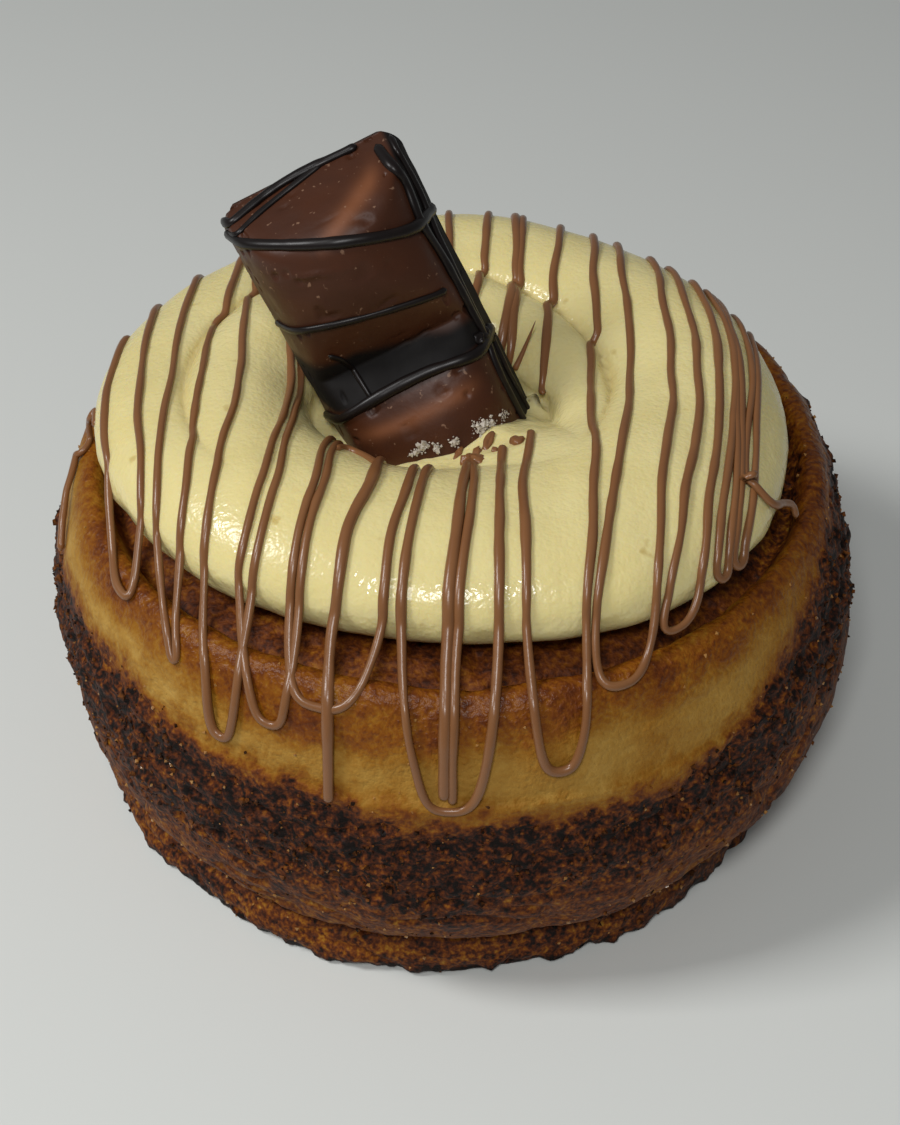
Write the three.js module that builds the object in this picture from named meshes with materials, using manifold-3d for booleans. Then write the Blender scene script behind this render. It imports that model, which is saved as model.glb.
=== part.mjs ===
// Coiled sweet roll under a piped cream ring, with milk-chocolate drizzle and a piece of
// two-hump chocolate-coated wafer bar stuck in the middle.
// Millimetres, +Z up. The origin is the centre of the flat base, +X is right and -Y is the front.
import * as THREE from 'three';
import { mergeVertices } from 'three/addons/utils/BufferGeometryUtils.js';
import Module from 'manifold-3d';

// ---- Driving dimensions ------------------------------------------------------------------
// Lists of eight run round the roll: right, back right, back, back left, left, front left,
// front, front right.
const CLEARANCE = 0.3;

// Roll: [radius, height] of its outline from the base edge to the seam of the inner coil.
const FOOT = [[44.3, 0], [45.3, 0.8], [45.1, 5.0]];
const CREASE = [[44.0, 6.2]];
const SIDE = [[46.0, 7.6], [48.2, 11.5], [49.5, 17], [49.6, 23], [48.7, 31], [46.8, 38.4]];
const RIM = [[45.4, 41.6], [43.6, 43.7], [41.6, 43.0]];
const SEAM = [[40.4, 40.3]];
const INNER_COIL = [[39.0, 41.0], [36.5, 41.8], [16, 42.0]];
const COIL_TOP = 42.0;
const ROLL_ROUNDNESS = [1.0, 1.003, 0.994, 1.0, 1.0, 1.004, 0.996, 1.004];
const ROLL_SHIFT = [-0.5, 1.5];
const LEAN_HEIGHT = 20;
const LEAN_RADIUS = 30;
const ROLL_TUCK = [0.2, 0.3, 0.3, 0.6, 1.3, 1.5, -0.8, -0.2];
const TUCK_FROM = 13;
const TUCK_TO = 28;

// Cream: a thick rope piped round the middle. Its second lap starts outside, over the first,
// and winds inwards towards the hole.
const CREAM_MIDDLE = [0.3, 0.5];
const CREAM_WAIST = 47.6;
const CREAM_BELOW = 6.6;
const CREAM_OUTER = [40.3, 39.6, 40.0, 40.6, 40.9, 38.8, 38.3, 42.0];
const ROPE_RISE = [6.8, 6.8, 6.8, 6.8, 7.0, 7.2, 7.0, 7.0];
const LAPS_PART = [0.8, 1, 1, 1, 0.9, 0, 0, 0];
const FIRST_LAP_INNER = [18, 18, 20, 22, 22, 22, 20, 18];
const FIRST_LAP_RISE = [7.0, 6.8, 6.4, 5.6, 5.4, 5.4, 6, 7.0];
const SECOND_LAP_OUTER = [22.5, 23.5, 26.0, 31.3, 32.8, 33.0, 28.0, 24.0];
const SECOND_LAP_RISE = [4.2, 5.4, 6.7, 7.1, 7.2, 7.2, 7.0, 5.0];
const CREAM_HOLE = [12.5, 11.0, 12.0, 14.0, 16.0, 14.5, 13.8, 14.5];
const HOLE_FLOOR = 46.3;
const SHELF = [47, 46.3, 46.3, 46.3, 46.3, 46.3, 49, 50.6];
const SHELF_HEIGHT = 4;
const SHELF_FROM = 2;
const SHELF_RADIUS = 9;
const SHELF_SLOPE = 0.25;
const SHELF_REACH = 12;

// Wafer bar: its frame is x across, y into the bar's flat back, z along it.
const BAR_VALLEY_AT = [-6.2, 4.3, 57.2];
const BAR_BACK_LEAN = 10;
const BAR_LEFT_LEAN = 25.5;
const BAR_TWIST = 12;
const BAR_WIDTH = 22.3;
const BAR_UPPER = 21.2;
const BAR_LOWER = 21.0;
const BAR_EDGE = 0.8;
const BAR_SIDE_SLOPE = 3.7;
const BAR_END_SLOPE = 2.6;
const BAR_VALLEY = 7.6;
const BAR_VALLEY_SLOPE = 0.75;
const BAR_CREST = 13.2;
const BAR_ARCH = 0.045;
const BAR_SHARPNESS = 6;
const BAR_CORNER = 2.4;
const BAR_CORNER_DEPTH = 1.6;

// Dark stripes across the bar: height on its left edge, height on its right edge.
const BAR_STRIPES = [[20.6, 20.6], [18.4, 12.4], [7.8, 4.0], [-5.2, -3.6]];
const STRIPE_RADIUS = 0.7;

// Drizzle: chains of legs that run over the cream between front and back, joined by loops that
// hang over the rim. A leg is its x at the back, the middle and the front (y = 30, 0, -30).
// Hangs are how far the chain's start, each loop and its end reach past the crest of the rim.
const LEG_SPAN = 30;
const STRAND_RADIUS = 0.8;
const STRAND_LIFT = 0.2;
const LIP = 0.2;
const LIP_HEIGHT = 48.6;
const COLLAR = 0.9;
const FRONT = -1;
const BACK = 1;
const CHAINS = [
  {
    start: BACK,
    legs: [
      [-36.5, -39, -37.5], [-37, -35, -33.5], [-31, -31.5, -31], [-25, -28, -29.5], [-22, -23, -26],
      [-19, -17, -20], [-16, -16.5, -22], [-13, -12, -16], [-11, -10.5, -15.5], [-7.5, -3.5, -6],
      [-4, -2, -9.8],
    ],
    hangs: [0, 1, 4, 2, 6, 10.5, 3, 7.5, 8, 2, 5, 14.5],
  },
  {
    start: FRONT,
    legs: [
      [6, 4, 1.6], [1, -1, -3.3], [9, 8.2, 6.3], [15, 12, 9], [19.8, 17.2, 16], [22.3, 21.8, 17],
      [27.5, 27.2, 23], [29.5, 30.3, 24],
    ],
    hangs: [13, 6, 13.5, 4, 10.5, 7, 2, 3, -2],
  },
  {
    start: BACK,
    legs: [[32, 32.7, 26.5], [33.5, 34.2, 28.5], [35.5, 37, 33]],
    hangs: [2, 0.5, 5, 1],
  },
];

// Facets
const ROLL_SIDES = 44;
const CREAM_SIDES = 40;
const CREAM_UNDERSIDE = [54, 30, 8];
const FIRST_LAP_STEPS = 3;
const SECOND_LAP_STEPS = 5;
const FLOOR_RINGS = [0.9, 0.55];
const HUMP_STEPS = 6;
const BAR_STATIONS = [0, 0.35, 0.65, 0.8, 0.88, 1];
const LEG_STEP = 0.5;
const LOOP_STEPS = 16;
const STRAND_SIDES = 3;
const STRAND_STEP = 9;
const STRAND_TURN = 0.55;

// ---- Helpers -----------------------------------------------------------------------------
const wasm = await Module();
wasm.setup();

// A value in direction `angle` from the eight values round the roll, joined smoothly.
function around(angle, eight) {
  const place = ((angle / (Math.PI / 4)) % 8 + 8) % 8;
  const i = Math.floor(place);
  const t = place - i;
  const [a, b, c, d] = [i + 7, i, i + 1, i + 2].map((k) => eight[k % 8]);
  return b + 0.5 * t * (c - a + t * (2 * a - 5 * b + 4 * c - d + t * (3 * (b - c) + d - a)));
}

// A closed skin over rings of equal length, shut by one point before the first ring and one
// after the last.
function skin(rings, first, last) {
  const n = rings[0].length;
  const points = [first, ...rings.flat(), last];
  const faces = [];
  for (let i = 0; i < n; i++) {
    const j = (i + 1) % n;
    faces.push(0, 1 + j, 1 + i);
    for (let k = 0; k + 1 < rings.length; k++) {
      const a = 1 + k * n;
      faces.push(a + i, a + j, a + n + i);
      faces.push(a + j, a + n + j, a + n + i);
    }
    const a = 1 + (rings.length - 1) * n;
    faces.push(a + i, a + j, points.length - 1);
  }
  const geometry = new THREE.BufferGeometry();
  geometry.setAttribute('position', new THREE.Float32BufferAttribute(points.flat(), 3));
  geometry.setIndex(faces);
  return geometry;
}

function solid(geometry) {
  const merged = mergeVertices(geometry, 1e-4);
  return new wasm.Manifold(new wasm.Mesh({
    numProp: 3,
    vertProperties: new Float32Array(merged.attributes.position.array),
    triVerts: new Uint32Array(merged.index.array),
  }));
}

function mesh(name, body, colour, roughness) {
  const { vertProperties, triVerts } = body.getMesh();
  const geometry = new THREE.BufferGeometry();
  geometry.setAttribute('position', new THREE.BufferAttribute(new Float32Array(vertProperties), 3));
  geometry.setIndex(new THREE.BufferAttribute(new Uint32Array(triVerts), 1));
  geometry.computeVertexNormals();
  const material = new THREE.MeshStandardMaterial({ color: colour, roughness, metalness: 0 });
  const piece = new THREE.Mesh(geometry, material);
  piece.name = name;
  return piece;
}

// ---- Roll --------------------------------------------------------------------------------
// Distance from the roll's middle to its side, where the outline has the given radius.
function rollReach([radius, height], angle) {
  const tuck = around(angle, ROLL_TUCK) * (1 - THREE.MathUtils.smoothstep(height, TUCK_FROM, TUCK_TO));
  return radius * around(angle, ROLL_ROUNDNESS) - tuck;
}

// The roll leans: its middle moves to the right between the base and LEAN_HEIGHT.
function rollMiddle([radius, height]) {
  const lean = THREE.MathUtils.smoothstep(height, 0, LEAN_HEIGHT);
  return THREE.MathUtils.lerp(...ROLL_SHIFT, lean) * Math.min(1, radius / LEAN_RADIUS);
}

function rollPoint(outlinePoint, angle) {
  const r = rollReach(outlinePoint, angle);
  return [rollMiddle(outlinePoint) + r * Math.cos(angle), r * Math.sin(angle), outlinePoint[1]];
}

function roll() {
  const outline = [...FOOT, ...CREASE, ...SIDE, ...RIM, ...SEAM, ...INNER_COIL];
  const rings = outline.map((point) =>
    Array.from({ length: ROLL_SIDES }, (_, i) => rollPoint(point, i / ROLL_SIDES * 2 * Math.PI)));
  return solid(skin(rings, [0, 0, 0], [0, 0, COIL_TOP]));
}

// ---- Cream -------------------------------------------------------------------------------
// Height above the waist of a domed lap between two radii.
function dome(r, inner, outer, rise) {
  const across = (r - (outer + inner) / 2) / ((outer - inner) / 2);
  return rise * Math.sqrt(Math.max(0, 1 - across * across));
}

function firstLap(r, angle) {
  return dome(r, around(angle, FIRST_LAP_INNER), around(angle, CREAM_OUTER), around(angle, FIRST_LAP_RISE));
}

function secondLap(r, angle) {
  return dome(r, around(angle, CREAM_HOLE), around(angle, SECOND_LAP_OUTER), around(angle, SECOND_LAP_RISE));
}

// Height of the floor of the hole. In front on the right it is a shelf of pressed-up cream.
function floorTop(r, angle) {
  const up = (around(angle, SHELF) - HOLE_FLOOR) * THREE.MathUtils.smoothstep(r, SHELF_FROM, SHELF_RADIUS);
  const steep = SHELF_SLOPE * THREE.MathUtils.clamp(up / SHELF_HEIGHT, 0, 1);
  return HOLE_FLOOR + up + steep * THREE.MathUtils.clamp(r - SHELF_RADIUS, 0, SHELF_REACH);
}

// Height of the cream's top at a distance from its middle, in direction `angle`.
function creamTop(r, angle) {
  const floor = floorTop(r, angle);
  if (r < around(angle, CREAM_HOLE)) return floor;
  const rope = dome(r, around(angle, CREAM_HOLE), around(angle, CREAM_OUTER), around(angle, ROPE_RISE));
  const laps = Math.max(firstLap(r, angle), secondLap(r, angle));
  const top = CREAM_WAIST + THREE.MathUtils.lerp(rope, laps, around(angle, LAPS_PART));
  const middle = (around(angle, CREAM_HOLE) + around(angle, CREAM_OUTER)) / 2;
  return r < middle ? Math.max(floor, top) : top;
}

// Radius of the groove where the second lap meets the first, found by halving.
function groove(angle) {
  let low = around(angle, FIRST_LAP_INNER);
  let high = around(angle, SECOND_LAP_OUTER);
  for (let i = 0; i < 20; i++) {
    const middle = (low + high) / 2;
    if (secondLap(middle, angle) > firstLap(middle, angle)) low = middle;
    else high = middle;
  }
  return high;
}

function cream() {
  const bottom = COIL_TOP + CLEARANCE;
  const ring = (place) => Array.from({ length: CREAM_SIDES }, (_, i) => {
    const angle = i / CREAM_SIDES * 2 * Math.PI;
    const [r, z] = place(angle);
    return [CREAM_MIDDLE[0] + r * Math.cos(angle), CREAM_MIDDLE[1] + r * Math.sin(angle), z];
  });
  const rings = [];
  for (const below of CREAM_UNDERSIDE) {
    rings.push(ring((angle) => {
      const outer = around(angle, CREAM_OUTER);
      const middle = (outer + around(angle, CREAM_HOLE)) / 2;
      const tilt = THREE.MathUtils.degToRad(below);
      const z = CREAM_WAIST - CREAM_BELOW * Math.sin(tilt);
      return [middle + (outer - middle) * Math.cos(tilt), Math.max(bottom, z)];
    }));
  }
  for (let k = 0; k < FIRST_LAP_STEPS; k++) {
    rings.push(ring((angle) => {
      const inner = groove(angle);
      const way = Math.cos((k + 0.4) / FIRST_LAP_STEPS * Math.PI / 2);
      const r = inner + (around(angle, CREAM_OUTER) - inner) * way;
      return [r, creamTop(r, angle)];
    }));
  }
  for (let k = 0; k <= SECOND_LAP_STEPS; k++) {
    rings.push(ring((angle) => {
      const hole = around(angle, CREAM_HOLE);
      const r = hole + (groove(angle) - hole) * (0.5 + 0.5 * Math.cos(k / SECOND_LAP_STEPS * Math.PI));
      return [r, creamTop(Math.max(r, hole), angle)];
    }));
  }
  for (const part of FLOOR_RINGS) {
    rings.push(ring((angle) => {
      const r = part * around(angle, CREAM_HOLE);
      return [r, floorTop(r, angle)];
    }));
  }
  const [x, y] = CREAM_MIDDLE;
  return solid(skin(rings, [x, y, bottom], [x, y, HOLE_FLOOR]));
}

// ---- Wafer bar ---------------------------------------------------------------------------
// Height of the humps over the flat back. Each is a ridge with slanted sides and ends, an arched
// crest and a slope out of the valley. The lowest of these faces counts, with rounded edges.
function hump(across, along) {
  const toEnd = Math.min(along + BAR_LOWER, BAR_UPPER - along);
  const corner = BAR_CORNER_DEPTH * Math.max(0, 1 - toEnd / BAR_CORNER) ** 2;
  const faces = [
    BAR_EDGE + BAR_SIDE_SLOPE * (BAR_WIDTH / 2 - corner - Math.abs(across)),
    BAR_EDGE + BAR_END_SLOPE * toEnd,
    BAR_VALLEY + BAR_VALLEY_SLOPE * Math.abs(along),
    BAR_CREST - BAR_ARCH * across ** 2,
  ];
  const sum = faces.reduce((all, face) => all + Math.max(face, BAR_EDGE) ** -BAR_SHARPNESS, 0);
  return sum ** (-1 / BAR_SHARPNESS);
}

// Outline of the bar at a height, from the left edge of its back over the humps to the right edge.
function section(along, grow) {
  const toEnd = Math.min(along + BAR_LOWER, BAR_UPPER - along);
  const wide = BAR_WIDTH / 2 - BAR_CORNER_DEPTH * Math.max(0, 1 - toEnd / BAR_CORNER) ** 2;
  const right = BAR_STATIONS.map((part) => {
    const across = part * wide;
    return [across * (1 + grow / wide), -hump(across, along) - grow];
  });
  right.push([wide + grow, grow]);
  return [...right.slice(1).map(([x, y]) => [-x, y]).reverse(), ...right];
}

function bar(grow) {
  const rings = Array.from({ length: 2 * HUMP_STEPS + 1 }, (_, k) => {
    const part = 0.5 + 0.5 * Math.cos(k / HUMP_STEPS * Math.PI);
    const along = part * (k < HUMP_STEPS ? -BAR_LOWER : BAR_UPPER);
    const z = along * (1 + grow / BAR_UPPER);
    return section(along, grow).map(([x, y]) => [x, y, z]);
  });
  const [low, high] = [rings[0][0][2], rings.at(-1)[0][2]];
  return solid(inPlace(skin(rings, [0, -0.1, low], [0, -0.1, high])));
}

// A stripe over the humps from edge to edge, at a height that goes from `left` to `right`.
function stripe([left, right], radius) {
  const points = section(left, 0).map(([x], i) => {
    const along = THREE.MathUtils.lerp(left, right, x / BAR_WIDTH + 0.5);
    return new THREE.Vector3(...section(along, 0)[i], along);
  });
  return solid(inPlace(strand(points.slice(1, -1), radius, new THREE.Vector3(0, 0, left))));
}

// Turns and moves a piece of the bar into the hole in the cream.
function inPlace(geometry) {
  const { degToRad } = THREE.MathUtils;
  const turn = new THREE.Matrix4().makeRotationY(-degToRad(BAR_LEFT_LEAN))
    .multiply(new THREE.Matrix4().makeRotationX(-degToRad(BAR_BACK_LEAN)))
    .multiply(new THREE.Matrix4().makeRotationZ(degToRad(BAR_TWIST)));
  return geometry.applyMatrix4(turn).translate(...BAR_VALLEY_AT);
}

// The bar with its stripes, grown on all sides.
function stripedBar(grow) {
  return BAR_STRIPES.reduce((all, heights) => all.add(stripe(heights, STRIPE_RADIUS + grow)), bar(grow));
}

// ---- Drizzle -----------------------------------------------------------------------------
// The points of a path that its strand needs: one where it has run or turned far enough.
function thinned(points) {
  const kept = [points[0]];
  let heading = points[1].clone().sub(points[0]);
  for (let i = 1; i + 1 < points.length; i++) {
    const next = points[i + 1].clone().sub(points[i]);
    const run = points[i].distanceTo(kept.at(-1));
    if (run > STRAND_STEP || (run > 2 * STRAND_RADIUS && next.angleTo(heading) > STRAND_TURN)) {
      kept.push(points[i]);
      heading = next;
    }
  }
  return [...kept, points.at(-1)];
}

// A strand through points, turned so that its ridge faces away from `middle`.
function strand(points, radius, middle) {
  const rings = points.map((centre, k) => {
    const before = points[Math.max(k - 1, 0)];
    const after = points[Math.min(k + 1, points.length - 1)];
    const along = after.clone().sub(before).normalize();
    const side = along.clone().cross(centre.clone().sub(middle)).normalize();
    const up = side.clone().cross(along);
    return Array.from({ length: STRAND_SIDES }, (_, i) => {
      const turn = (i / STRAND_SIDES - 0.25) * 2 * Math.PI;
      const offset = side.clone().multiplyScalar(Math.cos(turn)).addScaledVector(up, -Math.sin(turn));
      return centre.clone().addScaledVector(offset, radius).toArray();
    });
  });
  return skin(rings, points[0].toArray(), points.at(-1).toArray());
}

function legX([back, middle, front], y) {
  const way = y / LEG_SPAN;
  return middle + (back - front) / 2 * way + ((back + front) / 2 - middle) * way * way;
}

// A leg's points from back to front: null stands for each stretch that isn't on the cream.
function legPoints(leg) {
  const points = [];
  const reach = Math.max(...CREAM_OUTER);
  for (let y = reach; y >= -reach; y -= LEG_STEP) {
    const x = legX(leg, y);
    const angle = Math.atan2(y - CREAM_MIDDLE[1], x - CREAM_MIDDLE[0]);
    const r = Math.hypot(x - CREAM_MIDDLE[0], y - CREAM_MIDDLE[1]);
    const lying = r < around(angle, CREAM_OUTER) - LIP && r > around(angle, CREAM_HOLE) - 1;
    const z = Math.max(creamTop(r, angle), CREAM_WAIST) + STRAND_LIFT;
    points.push(lying ? new THREE.Vector3(x, y, z) : null);
  }
  return points.slice(points.findIndex(Boolean), points.findLastIndex(Boolean) + 1);
}

// Direction in which an outline passes a given x, on the front or on the back.
function angleAt(x, middle, reach, side) {
  let angle = side * Math.PI / 2;
  for (let i = 0; i < 8; i++) {
    angle = side * Math.acos(THREE.MathUtils.clamp((x - middle) / reach(angle), -1, 1));
  }
  return angle;
}

// The way down at a given x: the cream's lip, the crest of the rim, then the roll's side.
function wayDown(x, side) {
  const lip = angleAt(x, CREAM_MIDDLE[0], (angle) => around(angle, CREAM_OUTER) - LIP, side);
  const y = CREAM_MIDDLE[1] + (around(lip, CREAM_OUTER) - LIP) * Math.sin(lip);
  const outline = [...SIDE, ...RIM.slice(0, -1)].reverse();
  const slope = outline.map(([radius, height]) => [radius + STRAND_LIFT, height]);
  return [new THREE.Vector3(x, y, LIP_HEIGHT), ...slope.map((point) => {
    const angle = angleAt(x, rollMiddle(point), (a) => rollReach(point, a), side);
    return new THREE.Vector3(...rollPoint(point, angle));
  })];
}

// The point that lies `hang` past the crest on the way down, or between the lip and the crest:
// `part` is the part of that length that is used.
function hanging(x, side, hang, part) {
  const way = wayDown(x, side);
  let left = (way[0].distanceTo(way[1]) + hang) * part;
  for (let i = 0; i + 1 < way.length; i++) {
    const length = way[i].distanceTo(way[i + 1]);
    if (left <= length) return way[i].clone().lerp(way[i + 1], left / length);
    left -= length;
  }
  return way.at(-1);
}

// A loop from one leg's end to the next leg's, or a straight end where there is no next leg.
function overRim(from, to, side, hang) {
  return Array.from({ length: LOOP_STEPS + 1 }, (_, k) => {
    const part = k / LOOP_STEPS;
    if (to === undefined) return hanging(from, side, hang, part);
    const across = Math.cos(Math.PI * part);
    const x = (from + to) / 2 + (from - to) / 2 * Math.sign(across) * Math.abs(across) ** 0.7;
    return hanging(x, side, hang, Math.sin(Math.PI * part));
  });
}

function chainPath({ start, legs, hangs }) {
  let side = start;
  const path = [];
  const lying = legs.map(legPoints);
  legs.forEach((_, i) => {
    const points = side === BACK ? lying[i] : lying[i].slice().reverse();
    if (i === 0) path.push(...overRim(points[0].x, undefined, side, hangs[0]).reverse());
    path.push(...points);
    side = -side;
    const next = lying[i + 1];
    path.push(...overRim(points.at(-1).x, next?.at(side === BACK ? 0 : -1).x, side, hangs[i + 1]));
  });
  return path;
}

function drizzle() {
  const runs = CHAINS.flatMap((chain) => {
    const pieces = [[]];
    for (const point of chainPath(chain)) {
      if (point) pieces.at(-1).push(point);
      else if (pieces.at(-1).length) pieces.push([]);
    }
    return pieces.filter((piece) => piece.length > 3);
  });
  const middle = new THREE.Vector3(0, 0, COIL_TOP / 2);
  const strands = runs.map((run) => solid(strand(thinned(run), STRAND_RADIUS, middle)));
  return strands.reduce((all, one) => all.add(one));
}

// A wall that follows the cream's outline at a distance. It parts the drizzle on the cream from
// the drizzle on the roll.
function collar(distance) {
  const ring = (z) => Array.from({ length: CREAM_SIDES }, (_, i) => {
    const angle = i / CREAM_SIDES * 2 * Math.PI;
    const r = around(angle, CREAM_OUTER) + distance;
    return [CREAM_MIDDLE[0] + r * Math.cos(angle), CREAM_MIDDLE[1] + r * Math.sin(angle), z];
  });
  const [low, high] = [COIL_TOP - 10, COIL_TOP + 20];
  return solid(skin([ring(low), ring(high)], [...CREAM_MIDDLE, low], [...CREAM_MIDDLE, high]));
}

// The largest body of a solid, without loose scraps.
function largest(body) {
  return body.decompose().sort((a, b) => b.volume() - a.volume())[0];
}

// ---- Assembly ----------------------------------------------------------------------------
const socket = stripedBar(CLEARANCE);
const chocolate = drizzle();
const onCream = chocolate.intersect(collar(COLLAR));
const onRoll = chocolate.subtract(collar(COLLAR + CLEARANCE));

const part = new THREE.Group();
part.add(mesh('roll', largest(roll().add(onRoll).subtract(socket)), 0x9a6a3c, 0.7));
part.add(mesh('cream_ring', largest(cream().add(onCream).subtract(socket)), 0xe8dca4, 0.35));
part.add(mesh('wafer_bar', stripedBar(0), 0x4a2a1e, 0.4));

export default part;
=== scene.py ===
# %% [markdown]
# # A coiled sweet roll with piped cream, drizzle and a wafer bar
# The imported model gives the true form: a roll of baked dough, a ring of piped cream on it and a
# piece of wafer bar in the middle. This notebook gives each of them its fine surface and finish.
# They could be sculpted by hand, but a formula is easier to read and to change: every surface here
# is a function over a grid of numbers, worked out with numpy in millimetres.

# %% Load the imported model
import itertools
import math

import bpy
import numpy as np
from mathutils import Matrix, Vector


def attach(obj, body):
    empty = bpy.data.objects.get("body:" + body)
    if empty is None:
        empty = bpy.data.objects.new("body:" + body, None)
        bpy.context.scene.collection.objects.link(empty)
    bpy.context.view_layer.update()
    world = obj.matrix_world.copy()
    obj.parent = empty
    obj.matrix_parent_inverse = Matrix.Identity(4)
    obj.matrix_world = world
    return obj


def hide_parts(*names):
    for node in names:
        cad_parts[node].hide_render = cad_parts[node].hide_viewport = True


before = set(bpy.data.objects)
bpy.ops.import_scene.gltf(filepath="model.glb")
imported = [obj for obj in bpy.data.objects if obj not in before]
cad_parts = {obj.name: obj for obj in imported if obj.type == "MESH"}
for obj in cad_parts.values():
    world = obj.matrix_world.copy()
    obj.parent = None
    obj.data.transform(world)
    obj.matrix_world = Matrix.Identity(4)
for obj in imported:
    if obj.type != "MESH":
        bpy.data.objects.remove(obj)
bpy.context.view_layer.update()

MM = 0.001
TURN = 2 * math.pi
print("CAD nodes:", sorted(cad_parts))

# %% [markdown]
# ## Small tools for shapes
# A value that changes round the roll is a short list, read like the hours of a clock: it starts
# on the right and goes round by the back, the left and the front. A cubic joins the values, so
# eight numbers give a smooth, uneven outline like that of hand-made food. Noise gives what has no
# plan at all, such as lumps and pores.

# %% Values round the roll, steps and noise
def around(angle, values):
    """The value in direction `angle`: a cubic through the four nearest of the evenly spaced values."""
    values = np.asarray(values, float)
    place = angle / TURN * len(values)
    i = np.floor(place).astype(int)
    t = place - i
    a, b, c, d = (values[(i + k) % len(values)] for k in (-1, 0, 1, 2))
    return b + 0.5 * t * (c - a + t * (2 * a - 5 * b + 4 * c - d + t * (3 * (b - c) + d - a)))


def smooth(low, high, value):
    """0 below `low`, 1 above `high`, and 3t^2 - 2t^3 between them. Works downwards too."""
    t = np.clip((value - low) / (high - low), 0, 1)
    return t * t * (3 - 2 * t)


def bump(middle, width, value):
    """A bell: exp(-((value - middle) / width)^2)."""
    return np.exp(-((value - middle) / width) ** 2)


def noise(points, size, seed):
    """A smooth random field from -1 to 1. Each corner of a cubic lattice with cells of `size` has
    a random value from its hashed place, and a point blends its cell's eight corners."""
    lattice = np.asarray(points) / size + 31.7 * seed
    cell = np.floor(lattice).astype(np.int64)
    part = lattice - cell
    part = part * part * (3 - 2 * part)
    total = np.zeros(lattice.shape[:-1])
    for corner in itertools.product((0, 1), repeat=3):
        key = (cell + corner) @ np.array([73856093, 19349663, 83492791]) + 7919 * seed
        key = (key ^ (key >> 13)) * 1274126177
        value = ((key ^ (key >> 16)) & 0xFFFF) / 32767.5 - 1
        total += value * np.prod(np.where(corner, part, 1 - part), axis=-1)
    return total


def fractal(points, size, octaves, seed):
    """Noise on noise: each octave has half the size and half the strength of the one before."""
    return sum(noise(points, size / 2**k, seed + k) / 2**k for k in range(octaves))


def smooth_path(points, spacing):
    """A curve through points: cubics between neighbours, then points evenly `spacing` apart."""
    p = np.array(points, float)
    p = np.vstack([2 * p[0] - p[1], p, 2 * p[-1] - p[-2]])
    place = np.linspace(0, len(p) - 3, 40 * len(p))
    i = np.minimum(place.astype(int), len(p) - 4)
    t = (place - i)[:, None]
    a, b, c, d = (p[i + k] for k in range(4))
    q = b + 0.5 * t * (c - a + t * (2 * a - 5 * b + 4 * c - d + t * (3 * (b - c) + d - a)))
    run = np.r_[0, np.cumsum(np.linalg.norm(np.diff(q, axis=0), axis=1))]
    at = np.linspace(0, run[-1], max(2, round(run[-1] / spacing)) + 1)
    return np.stack([np.interp(at, run, q[:, k]) for k in range(p.shape[1])], axis=-1)

# %% [markdown]
# ## From arrays to meshes
# A mesh can be filled vertex by vertex with bmesh, or straight from arrays with foreach_set, which
# is much faster and is used here. A closed surface is a stack of rings whose ends shrink to a point.

# %% Build meshes from arrays
def make_mesh(name, points, faces, values=None, rounded=True):
    """An object at the origin from points in mm and lists of faces. `values` are named numbers for
    each point, which materials read as attributes."""
    mesh = bpy.data.meshes.new(name)
    corners = np.concatenate([f.ravel() for f in faces])
    sizes = np.concatenate([np.full(len(f), f.shape[1]) for f in faces])
    mesh.vertices.add(len(points))
    mesh.vertices.foreach_set("co", (np.asarray(points) * MM).astype(np.float32).ravel())
    mesh.loops.add(len(corners))
    mesh.loops.foreach_set("vertex_index", corners.astype(np.int32))
    mesh.polygons.add(len(sizes))
    mesh.polygons.foreach_set("loop_start", np.r_[0, np.cumsum(sizes)[:-1]].astype(np.int32))
    mesh.polygons.foreach_set("use_smooth", np.full(len(sizes), rounded))
    for key, numbers in (values or {}).items():
        attribute = mesh.attributes.new(key, "FLOAT", "POINT")
        attribute.data.foreach_set("value", np.asarray(numbers, np.float32).ravel())
    mesh.update(calc_edges=True)
    thing = bpy.data.objects.new(name, mesh)
    bpy.context.scene.collection.objects.link(thing)
    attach(thing, "root")
    triangles = int((sizes - 2).sum())
    print(f"{name}: {len(points)} points, {triangles} triangles")
    return thing


def shell_faces(rows, columns):
    """Faces of a closed skin over `rows` rings of `columns` points, with a pole before and after."""
    i = np.arange(columns)
    j = (i + 1) % columns
    start = 1 + np.arange(rows - 1)[:, None] * columns
    quads = np.stack([start + i, start + j, start + columns + j, start + columns + i], axis=-1)
    last = 1 + (rows - 1) * columns
    lower = np.stack([0 * i, 1 + j, 1 + i], axis=-1)
    upper = np.stack([last + i, last + j, 0 * i + last + columns], axis=-1)
    return [quads.reshape(-1, 4), lower, upper]


def make_shell(name, rings, values=None):
    """A closed surface over rings (rows, columns, 3). Its poles are the means of the end rings."""
    rows, columns = rings.shape[:2]
    points = np.vstack([rings[0].mean(0), rings.reshape(-1, 3), rings[-1].mean(0)])
    padded = {key: np.r_[v[0].mean(), v.ravel(), v[-1].mean()] for key, v in (values or {}).items()}
    return make_mesh(name, points, shell_faces(rows, columns), padded)


def ring_normals(rings):
    """Unit normals of a grid of rings, from the slopes between its neighbours."""
    along = np.gradient(rings, axis=0)
    across = np.roll(rings, -1, axis=1) - np.roll(rings, 1, axis=1)
    normal = np.cross(across, along)
    return normal / (np.linalg.norm(normal, axis=-1, keepdims=True) + 1e-12)

# %% [markdown]
# ## The roll's shape
# The dough was rolled up, cut across and baked in a ring, so it is a squat drum with a swollen
# rim, a seam where the outer layer meets the next one, and a foot that stands on a fine crease.
# A turned profile would be too round, so its outline is carried round a middle that leans, with a
# radius that changes on the way. The crust then gets real relief, because its edge shows against
# the floor: lumps in the dark crust, fine pores in the pale dough and a ragged burnt foot.

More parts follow.
